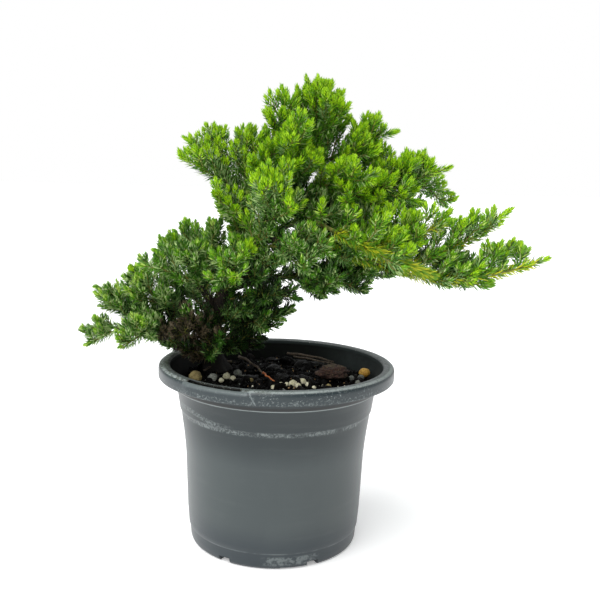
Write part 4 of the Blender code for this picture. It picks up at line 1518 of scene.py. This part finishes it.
def brush_shoots(group, key):
    """The yellow-green stem that comes down across the front of the crown to the long arm."""
    line = [bezier(LIMBS[BRUSH_ON][0], BRUSH_AT), BRUSH_BEND, BRUSH_TIP]
    foot, _, bare = BRUSH_BUILD
    sparse = group._replace(crowding=BRUSH_CROWDING)
    stem = Shoot(line, *BRUSH_BUILD, 0.0, "brush", key)
    return [stem] + side_shoots(None, Spray(line, foot, bare, 0.0), sparse, key)


def whorl_places():
    """How far back from a shoot's tip each whorl sits, closer together where it is young."""
    back = 0.0
    found = []
    while back < FARTHEST_BACK:
        found.append(back)
        back += TIP_PITCH + (OLD_PITCH - TIP_PITCH) * min(1, back / YOUNG)
    return np.array(found)


WHORLS = whorl_places()


def line_at(line, shares):
    """Points and unit directions along a line of three control points, as arrays."""
    start, bend, end = (np.array(point) for point in line)
    s = shares[:, None]
    points = (1 - s) ** 2 * start + 2 * s * (1 - s) * bend + s**2 * end
    ways = (1 - s) * (bend - start) + s * (end - bend)
    return points, ways / np.linalg.norm(ways, axis=1, keepdims=True)


def needles_of(shoot, shades, pale, dice):
    """Arrays for the needles of one shoot: place, heading, shaft, reach, girth and finish."""
    length = length_of(shoot.line)
    back = WHORLS[WHORLS < length * (1 - shoot.bare)]
    points, forward = line_at(shoot.line, 1 - back / length)
    side = np.cross(forward, ASIDE)
    side /= np.linalg.norm(side, axis=1, keepdims=True)
    over = np.cross(forward, side)
    count = len(back)
    opening = np.interp(back, BACKS, OPENINGS) * (BRUSH_SHUT if shoot.order == "brush" else 1)
    reaches = np.interp(back, BACKS, REACHES)
    girths = np.interp(back, BACKS, GIRTHS)
    radius = shoot.tip + (shoot.foot - shoot.tip) * back / length
    found = []
    arms = ARMS[shoot.order]
    for arm in range(arms):
        turn = shoot.turn + (arm + 0.5 * np.arange(count)) * math.tau / arms
        turn = turn + dice.normal(0, TURN_VARIES, count)
        out = np.cos(turn)[:, None] * side + np.sin(turn)[:, None] * over
        angle = np.radians(opening + dice.normal(0, OPENING_VARIES, count))
        heading = np.cos(angle)[:, None] * forward + np.sin(angle)[:, None] * out
        reach = reaches * (1 + dice.normal(0, SIZE_VARIES, count))
        girth = girths * (1 + dice.normal(0, SIZE_VARIES, count))
        age = np.searchsorted((YOUNG_END, MIDDLE_END), back + dice.normal(0, AGE_VARIES, count))
        finish = np.array(shades)[age]
        odd = dice.random(count)
        finish = np.where(odd < DARK_SHARE, DARKER[finish], finish)
        finish = np.where(odd > 1 - pale, PALER[finish], finish)
        found.append((points + out * radius[:, None] * SUNK, heading, forward, reach, girth, finish))
    return [np.concatenate(parts) for parts in zip(*found)]


def cover_over(shoots):
    """How many other shoots stand close above and outside each shoot's tip."""
    tips = np.array([shoot.line[2] for shoot in shoots])
    outward = tips - COVER_CENTRE
    outward /= np.linalg.norm(outward, axis=1, keepdims=True)
    ahead = tips + COVER_AHEAD * (outward + COVER_LEAN)
    cover = np.zeros(len(tips))
    for start in range(0, len(tips), COVER_BATCH):
        gaps = ahead[start : start + COVER_BATCH, None, :] - tips[None, :, :]
        near = np.einsum("ijk,ijk->ij", gaps, gaps) < COVER_REACH**2
        cover[start : start + COVER_BATCH] = near.sum(axis=1)
    return cover


def light_on(group, shoot, cover):
    """How much painted light a shoot's greens get, from about 0 deep inside to 1 at the top of the crown."""
    tip = shoot.line[2]
    height = min(1, max(0, (tip.z - LIGHT_FOOT) / LIGHT_SPAN))
    open_share = LIGHT_OPEN - min(1, cover / COVERED) * LIGHT_LOST
    light = group.fresh * (LIGHT_LEAST + LIGHT_GAIN * height) * open_share
    light += LIGHT_VARIES * wobble(shoot.key, 3.1) - PAIR_SHADE * (shoot.order == "pair")
    for place, reach, depth in HOLLOWS:
        light -= depth * max(0, 1 - (tip - place).length / reach)
    return light


def greens(group, shoot, cover):
    """The finishes of a shoot's young end, middle and old part, painted by its light and shade, and its share
    of pale needles.
    """
    if shoot.order == "dry":
        return (DRY, DRY, DRY), 0.0
    spread = DRY_SPREAD * (1 + DRY_EDGE * wobble(shoot.key, 5.9))
    if (shoot.line[2] - DRY_PLACE).length < spread and wobble(shoot.key, 1.3) < DRY_LEVEL:
        return (DRY, UMBER, DRY), 0.0
    if shoot.order == "brush":
        return (OLIVE, OLIVE, OLIVE), BRUSH_PALE
    light = light_on(group, shoot, cover)
    shades = next(shades for least, shades in SHADES if light > least)
    if wobble(shoot.key, 7.7) < BLOOM_ON_GREY * group.grey - 1:
        shades = (shades[0], BLOOM, BLOOM)
    if shoot.order == "stem" and group.straw:
        shades = (shades[0], shades[1], STRAW)
    pale = PALE_SHARE + PALE_ON_GREY * group.grey
    return shades, pale * min(1, max(PALE_IN_SHADE, PALE_IN_LIGHT * light))


def point_cloud(name, parts):
    """A mesh of bare points that carries each needle's heading and size."""
    places, headings, shafts, reaches, girths, finishes = (np.concatenate(column) for column in zip(*parts))
    mesh = bpy.data.meshes.new(name)
    mesh.vertices.add(len(places))
    mesh.vertices.foreach_set("co", (places * MM).ravel())
    for label, kind, field, values in (
        ("heading", "FLOAT_VECTOR", "vector", headings.ravel()),
        ("shaft", "FLOAT_VECTOR", "vector", shafts.ravel()),
        ("reach", "FLOAT", "value", reaches * MM),
        ("girth", "FLOAT", "value", girths * MM),
        ("finish", "INT", "value", finishes.astype(np.int32)),
    ):
        mesh.attributes.new(label, kind, "POINT").data.foreach_set(field, values)
    return new_object(name, mesh)


def twig_lines(name, shoots):
    """A mesh of open lines that carries each twig's thickness and whether it is woody."""
    points, edges, girths, woods = [], [], [], []
    for shoot in shoots:
        steps = LEADER_STEPS if shoot.order in LEADERS else SHOOT_STEPS
        for step in range(steps + 1):
            share = step / steps
            if step:
                edges.append((len(points) - 1, len(points)))
            points.append(bezier(shoot.line, share))
            girths.append((shoot.foot + (shoot.tip - shoot.foot) * share) * MM)
            woody = shoot.order == "dry" or (shoot.order == "twig" and share < WOODY_SHARE)
            woods.append(int(woody))
    mesh = new_mesh(name, points, edges=edges)
    mesh.attributes.new("girth", "FLOAT", "POINT").data.foreach_set("value", girths)
    mesh.attributes.new("finish", "INT", "POINT").data.foreach_set("value", woods)
    return new_object(name, mesh)


def grow_groups():
    """The shoots of every group, from the leaders along the solids' own lines to the smallest pairs."""
    sprays = choose()
    masses = {mass.name: mass for mass in MASSES}
    share, tip, bare = LEADER_BUILD
    groups = {}
    key = 0.0
    for name, group in GROUPS.items():
        shoots = []
        for mass_name in group.masses:
            for spray in sprays[mass_name]:
                key += 1.0
                order = "stem" if spray is sprays[mass_name][0] else "twig"
                shoots.append(Shoot(spray.line, share * spray.radius, tip, bare, spray.turn, order, key))
                shoots += side_shoots(masses[mass_name], spray, group, key)
        for wand in WANDS.get(name, ()):
            key += 1.0
            line = wand_line(*wand)
            shoots.append(Shoot(line, *WAND_BUILD, 0.0, "twig", key))
            shoots += side_shoots(None, Spray(line, WAND_BUILD[0], TWIG_BARE, 0.0), group, key)
        for limb in group.limbs:
            key += 1.0
            shoots += limb_shoots(limb, key)
        if name == "low_left":
            shoots += dry_shoots(key)
        if name == "arm":
            shoots += brush_shoots(group, key)
        groups[name] = shoots
    return groups


def make_foliage():
    """Each group of masses as one piece of twigs and one of needles."""
    needles = needle_tree([plain_green(name) for name in GREENS])
    twigs = twig_tree([finish_of("green_twig", green_twig), finish_of("brown_twig", brown_twig)])
    dice = np.random.default_rng(FOLIAGE_SEED)
    groups = grow_groups()
    cover = iter(cover_over([shoot for shoots in groups.values() for shoot in shoots]))
    for name, shoots in groups.items():
        group = GROUPS[name]
        parts = [needles_of(shoot, *greens(group, shoot, next(cover)), dice) for shoot in shoots]
        keep(grown(point_cloud(name + "_needles", parts), needles), "needles", *group.masses)
        keep(grown(twig_lines(name + "_twigs", shoots), twigs), "bark", *group.masses)


# Trunk and boughs


# The bark's relief: long strands, and finer shreds on them, which fade out on limbs under FULL_RELIEF
STRANDS_ROUND = 2.2
STRANDS_ALONG = 5
STRAND_SCALE = 1.6
STRAND_HEIGHT = 0.42
SHRED_SCALES = (0.9, 0.9, 0.22)
SHRED_HEIGHT = 0.34
FULL_RELIEF = 3
TRUNK_RINGS = (120, 36)
BOUGH_RINGS = (40, 16)


def bark_relief(point, share, turn):
    """How far the bark stands out at a point of a limb, in millimetres."""
    around = Vector((math.cos(turn) * STRANDS_ROUND, math.sin(turn) * STRANDS_ROUND, share * STRANDS_ALONG))
    strands = noise.noise(around * STRAND_SCALE)
    shreds = noise.turbulence(Vector(a * b for a, b in zip(point, SHRED_SCALES)), 4, False)
    return STRAND_HEIGHT * strands + SHRED_HEIGHT * (shreds - 0.5)


def limb_mesh(name, rings, sides):
    """A limb's skin with its bark in relief, and on the trunk the root ridges of its flared foot."""
    points = LIMBS[name][0]
    skin = []
    for step in range(rings):
        share = step / (rings - 1)
        centre = bezier(points, share)
        lean = tangent(points, share)
        flare = 0.0
        if name == "trunk":
            lean = UP.lerp(lean, min(1, share * 6)).normalized()
            flare = FLARE * math.exp(-(centre.z - points[0][2]) / FLARE_HEIGHT * 2)
        ring = []
        for number, point in enumerate(circle(centre, lean, 1, sides)):
            turn = math.tau * number / sides
            ridge = 0.5 + 0.5 * math.cos(ROOT_RIDGES * turn + RIDGE_TURN)
            radius = limb_radius(name, share) + flare * (FLARE_EVEN + FLARE_RIDGED * ridge)
            radius += bark_relief(point, share, turn) * min(1, radius / FULL_RELIEF)
            ring.append(centre + (point - centre) * radius)
        skin.append(ring)
    mesh = new_mesh(name + "_bark", *loft(skin))
    mesh.shade_smooth()
    return mesh


def make_limbs():
    finish = finish_of("juniper_bark", bark)
    for name in LIMBS:
        rings, sides = TRUNK_RINGS if name == "trunk" else BOUGH_RINGS
        keep(new_object(name + "_bark", limb_mesh(name, rings, sides), [finish]), "bark", name)


# The pot


def foot_cutter(name, depth, width, height, turn):
    """A box that cuts an opening this deep, wide and high into the pot's foot."""
    bm = bmesh.new()
    bmesh.ops.create_cube(bm, size=1)
    bmesh.ops.scale(bm, vec=Vector((depth, width, 2 * height)) * MM, verts=bm.verts)
    bmesh.ops.rotate(bm, matrix=Matrix.Rotation(turn, 3, "Z"), verts=bm.verts)
    place = Vector((NOTCH_OUT * math.cos(turn), NOTCH_OUT * math.sin(turn), 0))
    bmesh.ops.translate(bm, vec=place * MM, verts=bm.verts)
    return new_object(name, mesh_of(name, bm))


def slot_cutter():
    """A thin curved bar that cuts the label slot along the rim's top."""
    rings = []
    steps = 24
    for step in range(steps + 1):
        turn = SLOT_TURN + SLOT_SPAN * (step / steps - 0.5)
        ring = []
        for side, level in ((-1, -1), (1, -1), (1, 1), (-1, 1)):
            out = SLOT_RADIUS + side * SLOT_WIDTH / 2
            ring.append(Vector((out * math.cos(turn), out * math.sin(turn), RIM_TOP + level * SLOT_DEPTH)))
        rings.append(ring)
    bm = bmesh.new()
    bm.from_mesh(new_mesh("slot_skin", *loft(rings)))
    bmesh.ops.recalc_face_normals(bm, faces=bm.faces)
    return new_object("slot_cutter", mesh_of("slot_cutter", bm))


def turned_pot():
    """The pot's section, from its floor's middle up the inside, over the rim and down, turned round."""
    profile = [*INSIDE_PROFILE, *RIM_PROFILE, *WALL_PROFILE, (0, 0)]
    points = [(radius, 0, height) for radius, height in profile]
    edges = [(step, step + 1) for step in range(len(points) - 1)]
    finish = finish_of("scuffed_plastic", pot_plastic, Specular_IOR_Level=0.55)
    pot = new_object("nursery_pot", new_mesh("nursery_pot", points, edges=edges), [finish])
    screw = pot.modifiers.new("turn", "SCREW")
    screw.steps = screw.render_steps = POT_STEPS
    screw.use_merge_vertices = True
    screw.merge_threshold = 1e-5
    screw.use_normal_calculate = True
    return applied(pot)


def press_panel(pot):
    """Swells the rim's face a little, and sinks its top, where the label panel is."""
    for vertex in pot.data.vertices:
        x, y, z = vertex.co / MM
        out = math.hypot(x, y)
        turn = math.atan2(y, x) - PANEL_SLANT * (RIM_TOP - z)
        beside = abs(turn - PANEL_TURN) / (PANEL_SPAN / 2)
        share = min(1, max(0, (PANEL_REACH - beside) / PANEL_EASE))
        if out > FACE_RADIUS and FACE_FOOT < z < RIM_TOP - TOP_MARGIN:
            vertex.co.x *= (out + PANEL_SWELL * share) / out
            vertex.co.y *= (out + PANEL_SWELL * share) / out
        if out > TOP_RADIUS and z > TOP_FOOT:
            vertex.co.z -= PANEL_SINK * share * MM


def cut_out(thing, cutters):
    """Takes the shapes of the cutters away from a piece, and the cutters away from the scene."""
    for cutter in cutters:
        cut = thing.modifiers.new(cutter.name, "BOOLEAN")
        cut.operation = "DIFFERENCE"
        cut.object = cutter
    applied(thing)
    for cutter in cutters:
        bpy.data.objects.remove(cutter)


def make_pot():
    pot = turned_pot()
    press_panel(pot)
    cutters = [slot_cutter()]
    for count in range(NOTCHES):
        turn = NOTCH_TURN + count * math.tau / NOTCHES
        cutters.append(foot_cutter(f"notch_{count}", NOTCH_DEPTH, NOTCH_WIDTH, NOTCH_HEIGHT, turn))
    cutters.append(foot_cutter("lifted", LIFTED_DEPTH, LIFTED_WIDTH, LIFTED_HEIGHT, LIFTED_TURN))
    cut_out(pot, cutters)
    pot.data.materials.append(finish_of("damp_plastic", damp_plastic, Specular_IOR_Level=0.15))
    for face in pot.data.polygons:
        centre = face.center / MM
        faces_in = centre.xy @ face.normal.xy < 0 and math.hypot(centre.x, centre.y) < MOUTH_RADIUS
        if faces_in and centre.z > SOIL_EDGE - DAMP_BELOW:
            face.material_index = 1
    pot.data.shade_smooth()
    pot.data.set_sharp_from_angle(angle=math.radians(50))
    keep(pot, "pot_plastic", "pot")


# The mix and what lies on it


# Lumps of the mix and dents of its stones: how close together they are, and then their noise's roughness,
# how much finer each of its layers is and how many it has
LUMP_SCALE = 0.22
LUMP_NOISE = (0.8, 2.1, 5)
LUMP_HEIGHT = 1.3
DENT_SCALE = 1.4
DENT_NOISE = (0.7, 2.0, 4)


def soil_height(x, y):
    """The mix's surface, as in the solids, with the fine lumps that the photograph shows."""
    from_trunk = math.hypot(x - TRUNK_CURVE[0][0], y - TRUNK_CURVE[0][1])
    level = min(1, max(0, (from_trunk - 14) / 10))
    heave = math.sin(x * 0.21 + 1.3) * math.cos(y * 0.17 - 0.4) + 0.5 * math.sin((x + y) * 0.33)
    edge = max(0, math.hypot(x, y) - 40) / 11
    lumps = noise.fractal(Vector((x, y, 0)) * LUMP_SCALE, *LUMP_NOISE)
    base = SOIL_LEVEL + level * SOIL_HEAVE * heave * (1 - edge) - (SOIL_LEVEL - SOIL_EDGE) * level * edge
    return base + LUMP_HEIGHT * lumps


MIX_RINGS = 70
MIX_SIDES = 150
MIX_BRIM = 52.2
MIX_BELOW = ((50.4, 74.0), (46.0, 30.0), (44.0, 1.8))


def mix_ring(radius, height=None):
    """A ring of points round the pot's axis, at this height or on the mix's surface."""
    ring = []
    for step in range(MIX_SIDES):
        turn = math.tau * step / MIX_SIDES
        x, y = radius * math.cos(turn), radius * math.sin(turn)
        ring.append(Vector((x, y, soil_height(x, y) if height is None else height)))
    return ring


def make_mix():
    """The filling of the pot, from the middle of its uneven top to its brim and down to its floor."""
    rings = [mix_ring(MIX_BRIM * number / MIX_RINGS) for number in range(1, MIX_RINGS + 1)]
    rings += [mix_ring(radius, height) for radius, height in MIX_BELOW]
    points = [Vector((0, 0, soil_height(0, 0)))]
    faces = [(0, 1 + step, 1 + (step + 1) % MIX_SIDES) for step in range(MIX_SIDES)]
    for ring in rings:
        low, high = len(points) - MIX_SIDES, len(points)
        points += ring
        if low < 1:
            continue
        for i in range(MIX_SIDES):
            j = (i + 1) % MIX_SIDES
            faces.append((low + i, high + i, high + j, low + j))
    faces.append(tuple(reversed(range(len(points) - MIX_SIDES, len(points)))))
    mesh = new_mesh("moist_mix", points, faces)
    mesh.shade_smooth()
    finish = finish_of("wet_mix", wet_mix, Specular_IOR_Level=0.05)
    keep(new_object("moist_mix", mesh, [finish]), "potting_mix", "potting_mix")


# What is strewn over the mix: its grain, where it lies, as its inner and outer radius and its turns, and
# then its values for CRUMB_SIZES
EVERYWHERE = (0, 50.5, 0, math.tau)
IN_FRONT = (18, 50.5, math.radians(-150), math.radians(-20))
STREWN_LIFT = 0.2
STREWN = {
    "bark_crumbs": ("bark_chip", EVERYWHERE, (1.3e5, 0.5, 1.9, 0.45, 0.5, 3)),
    "bark_bits": ("bark_chip", EVERYWHERE, (1.6e4, 1.6, 3.6, 0.3, 0.9, 9)),
    "bark_slabs": ("bark_chip", EVERYWHERE, (3.2e3, 2.6, 5.2, 0.3, 1.4, 5)),
    "tan_grit_strewn": ("tan_grit", EVERYWHERE, (1.6e4, 0.25, 0.8, 0.7, 0.3, 14)),
    "grey_grit_strewn": ("grey_grit", EVERYWHERE, (1.3e4, 0.25, 0.9, 0.8, 0.3, 21)),
    "pale_grains_strewn": ("pumice_grain", IN_FRONT, (3.0e4, 0.2, 0.7, 0.85, 0.2, 27)),
}


def patch(name, inner, outer, start, end):
    """A part of the mix's surface to strew crumbs on."""
    points, faces = [], []
    rings, sides = 12, 40
    for ring in range(rings + 1):
        radius = inner + (outer - inner) * ring / rings
        for step in range(sides + 1):
            turn = start + (end - start) * step / sides
            x, y = radius * math.cos(turn), radius * math.sin(turn)
            points.append(Vector((x, y, soil_height(x, y) + STREWN_LIFT)))
    for ring in range(rings):
        for step in range(sides):
            low = ring * (sides + 1) + step
            faces.append((low, low + sides + 1, low + sides + 2, low + 1))
    return new_object(name, new_mesh(name, points, faces))


def make_crumbs():
    """Bark crumbs, grit and pale grains strewn over the mix."""
    finishes = {name: stone(name) for name in ("pumice_grain", "grey_grit", "tan_grit")}
    finishes["bark_chip"] = finish_of("bark_chip", bark_chip, Specular_IOR_Level=0.07)
    for name, (grain, where, sizes) in STREWN.items():
        thing = grown(patch(name, *where), crumb_tree(finishes[grain]), dict(zip(CRUMB_SIZES, sizes)))
        thing.data.shade_smooth()
        keep(thing, "potting_mix")


def lump(name, place, size, roughen, seed, finish, detail=4, turn=0.0):
    """A dented stone, its middle at this place, turned about the vertical."""
    turned = Matrix.Rotation(turn, 3, "Z")
    bm = bmesh.new()
    bmesh.ops.create_icosphere(bm, subdivisions=detail, radius=1)
    for vertex in bm.verts:
        dents = noise.fractal(vertex.co * DENT_SCALE + Vector((seed, 0, 0)), *DENT_NOISE)
        swell = 1 + roughen * dents
        vertex.co = (Vector(place) + turned @ Vector([a * b for a, b in zip(vertex.co * swell, size)])) * MM
    mesh = mesh_of(name, bm)
    mesh.shade_smooth()
    return new_object(name, mesh, [finish])


# Grains that the photograph shows one by one: which stone each is, and its x, y and radius
GRAINS = {
    "pale_grains": ("perlite", (
        (2.3, -17.0, 1.9), (8.6, -18.4, 2.3), (13.6, -15.5, 2.1), (-1.6, -19, 1.4), (16.5, -19.5, 1.5),
        (5.2, -21, 1.2), (11.3, -21.5, 1.6), (-26.8, -7, 2.0), (-23.4, -8.5, 1.6), (-29.4, -9.5, 1.5),
        (19.4, -22.5, 1.2),
    )),
    "grey_grains": ("pumice", (
        (-34.0, -7.5, 2.9), (-21.5, 3.0, 2.4), (46.5, 5.0, 1.9), (40.5, -3.5, 1.6), (-18.0, -3.0, 1.6),
        (43.5, -9.5, 1.4),
    )),
    "tan_grains": ("tan_clay", ((-43.0, -11.0, 3.6), (27.0, -21.0, 1.5), (-13.5, -14.5, 1.3))),
}
GRAIN_FLAT = 0.92
GRAIN_ROUGH = 0.12
GRAIN_BEDDED = 0.45
GRAIN_LIFT = 0.7


def make_grains():
    for name, (kind, grains) in GRAINS.items():
        finish = stone(kind)
        pieces = []
        for count, (x, y, radius) in enumerate(grains):
            place = (x, y, soil_height(x, y) + GRAIN_BEDDED * radius + GRAIN_LIFT)
            size = (radius, radius, GRAIN_FLAT * radius)
            pieces.append(lump(f"{name}_{count}", place, size, GRAIN_ROUGH, count, finish, 3))
        keep(joined(name, pieces), "potting_mix")


# Wet slabs of bark that lie on the mix, each as (x, y), half sizes and how far it is turned
SLABS = (
    ((-14, -8), (6.4, 4.2, 2.4), 20),
    ((-2, 20), (4.8, 4.2, 2.6), -10),
    ((14, -3), (5.6, 3.6, 2.0), -25),
    ((3, -3), (3.4, 2.6, 1.8), 40),
    ((12, 40), (6.6, 2.4, 1.1), -25),
    ((26, 33), (7.2, 2.2, 1.0), -30),
    ((20, 22), (5.4, 2.0, 1.2), -12),
    ((38, 15), (4.2, 2.6, 1.4), 15),
    ((-3, 38), (5.0, 2.0, 1.2), 8),
    ((45, 1), (3.0, 2.2, 1.4), 60),
)
SLAB_ROUGH = 0.5
SLAB_BEDDED = 0.55


def make_slabs():
    finish = finish_of("wet_bark", bark_chip, Specular_IOR_Level=0.22)
    pieces = []
    for number, ((x, y), size, degrees) in enumerate(SLABS):
        place = (x, y, soil_height(x, y) + SLAB_BEDDED * size[2])
        turn = math.radians(degrees)
        pieces.append(lump(f"slab_{number}", place, size, SLAB_ROUGH, 3.7 * number, finish, turn=turn))
    keep(joined("wet_bark_slabs", pieces), "potting_mix")


def joined(name, pieces):
    """One object from several with the same finish."""
    bm = bmesh.new()
    for piece in pieces:
        bm.from_mesh(piece.data)
    finish = pieces[0].data.materials[0]
    for piece in pieces:
        bpy.data.objects.remove(piece)
    mesh = mesh_of(name, bm)
    mesh.shade_smooth()
    return new_object(name, mesh, [finish])


# Roots and dead twigs on the mix, each as its route, its thickness at both ends and its finish
ROOTS = {
    "brown_root": (((-22, 28, 93), (-17, 16, 95.0), (-11, 6, 92.5), (-7, -2, 90.6)), 0.85, 0.5, "old_root"),
    "orange_root": (
        ((-7.4, 0, 91.0), (-6.2, -4, 92.0), (-6, -9, 90.8), (-1, -13, 89.8)), 0.6, 0.35, "young_root"
    ),
    "grey_root": (((-26, 22, 91.5), (-31, 19, 92.4), (-36, 12, 91.8), (-40, 4, 90.4)), 0.9, 0.5, "old_root"),
    "dry_twig": (((6, 46, 91.5), (14, 40, 92.5), (24, 36, 91.8), (33, 31, 90.4)), 0.9, 0.5, "old_root"),
    "dry_twig_low": (((10, 42, 90.6), (18, 34, 91.6), (28, 26, 91.2), (38, 22, 90.0)), 0.6, 0.4, "old_root"),
}
ROOT_RINGS = 28
ROOT_SIDES = 9
ROOT_KNOTS = 0.22
KNOTS_ALONG = 11
KNOTS_BY_GIRTH = 7
ROOT_DRIFT = 1.1
DRIFTS_ALONG = 5


def make_roots():
    """Roots and twigs along their routes, knotted and wandering a little."""
    finishes = {build.__name__: finish_of(build.__name__, build) for build in (old_root, young_root)}
    for name, (route, foot, tip, finish) in ROOTS.items():
        rings = []
        for step in range(ROOT_RINGS):
            share = step / (ROOT_RINGS - 1)
            knots = 1 + ROOT_KNOTS * noise.noise(Vector((share * KNOTS_ALONG, foot * KNOTS_BY_GIRTH, 0)))
            aside = [noise.noise(Vector((share * DRIFTS_ALONG, foot, seed))) for seed in (1, 9)]
            centre = bezier(route, share) + Vector((*aside, 0)) * ROOT_DRIFT
            radius = (foot + (tip - foot) * share) * knots
            rings.append(circle(centre, tangent(route, share), radius, ROOT_SIDES))
        mesh = new_mesh(name, *loft(rings))
        mesh.shade_smooth()
        keep(new_object(name, mesh, [finishes[finish]]), "bark")


# How much of its node's box each of the two lumps fills, how dented it is and its seed
CHUNK = (0.96, 0.26, 5.0)
PELLET = (1.0, 0.05, 2.0)


def filling(name, box, share, roughen, seed, finish, detail):
    """A lump that fills this share of a box, given by its lowest and highest corners."""
    low, high = (Vector(corner) / MM for corner in box)
    return lump(name, (low + high) / 2, (high - low) / 2 * share, roughen, seed, finish, detail)


def make_chunk_and_pellet():
    chunk = filling("lava_lump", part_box("lava_chunk"), *CHUNK, finish_of("lava_stone", lava_stone), 5)
    keep(chunk, "lava_stone", "lava_chunk")
    pellet = filling("ochre_pellet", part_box("yellow_pellet"), *PELLET, finish_of("ochre_coat", ochre_coat), 4)
    keep(pellet, "pellet", "yellow_pellet")


# Stage, light and camera


def make_stage():
    corners = [(x * FLOOR_HALF, y * FLOOR_HALF, -FLOOR_DROP) for x, y in ((-1, -1), (1, -1), (1, 1), (-1, 1))]
    glow = {"Emission_Color": (1, 1, 1, 1), "Emission_Strength": FLOOR_GLOW}
    finish = finish_of("paper_floor", paper_floor, **glow)
    floor = new_object("floor", new_mesh("floor", corners, [(0, 1, 2, 3)]), [finish])


def sun(name, side, softness, power):
    """A wide soft light from a far-off side, which reaches the whole floor evenly."""
    data = bpy.data.lights.new(name, "SUN")
    data.energy = power
    data.angle = math.radians(softness)
    thing = bpy.data.objects.new(name, data)
    bpy.context.scene.collection.objects.link(thing)
    thing.rotation_euler = Vector(side).to_track_quat("Z", "Y").to_euler()


def make_lights():
    """A white studio: bright round the back and overhead, dimmer in front, with a soft key from the left."""
    world = bpy.data.worlds.new("white_room")
    world.use_nodes = True
    world.node_tree.nodes.clear()
    net = Net(world.node_tree)
    seen = net.node("ShaderNodeLightPath", out="Is Camera Ray")
    _, y, z = net.xyz(net.node("ShaderNodeTexCoord", out="Generated"))
    strength = ROOM_FRONT + ROOM_BACK * net.step(y, -0.6, 0.5) + ROOM_TOP * net.step(z, 0.2, 0.9)
    room = net.node("ShaderNodeBackground", None, {"Color": (0.97, 0.99, 1.0, 1), "Strength": strength})
    wall = net.node("ShaderNodeBackground", None, {"Color": (1, 1, 1, 1), "Strength": 1.0})
    mixed = net.node("ShaderNodeMixShader", None, {0: seen, 1: room, 2: wall})
    net.node("ShaderNodeOutputWorld", None, {"Surface": mixed})
    bpy.context.scene.world = world
    for name, light in LIGHTS.items():
        sun(name, *light)


def make_camera():
    """The photograph's view: level turned a little to the right, tipped down and rolled a little."""
    data = bpy.data.cameras.new("camera")
    data.lens = LENS
    data.sensor_width = FILM
    data.clip_start = 0.01
    data.clip_end = 50
    camera = bpy.data.objects.new("camera", data)
    bpy.context.scene.collection.objects.link(camera)
    east, north = math.sin(CAMERA_RIGHT), math.cos(CAMERA_RIGHT)
    flat, drop = math.cos(CAMERA_DOWN), math.sin(CAMERA_DOWN)
    forward = Vector((east * flat, north * flat, -drop))
    level = Vector((north, -east, 0))
    upright = level.cross(forward)
    right = math.cos(CAMERA_ROLL) * level + math.sin(CAMERA_ROLL) * upright
    above = math.cos(CAMERA_ROLL) * upright - math.sin(CAMERA_ROLL) * level
    turn = Matrix((right, above, -forward)).transposed()
    camera.matrix_world = Matrix.LocRotScale(CAMERA_AT * MM, turn, None)
    bpy.context.scene.camera = camera
    bpy.context.scene.view_settings.view_transform = "Standard"


make_camera()
make_lights()
make_stage()
make_pot()
make_mix()
make_crumbs()
make_grains()
make_slabs()
make_roots()
make_chunk_and_pellet()
make_limbs()
make_foliage()
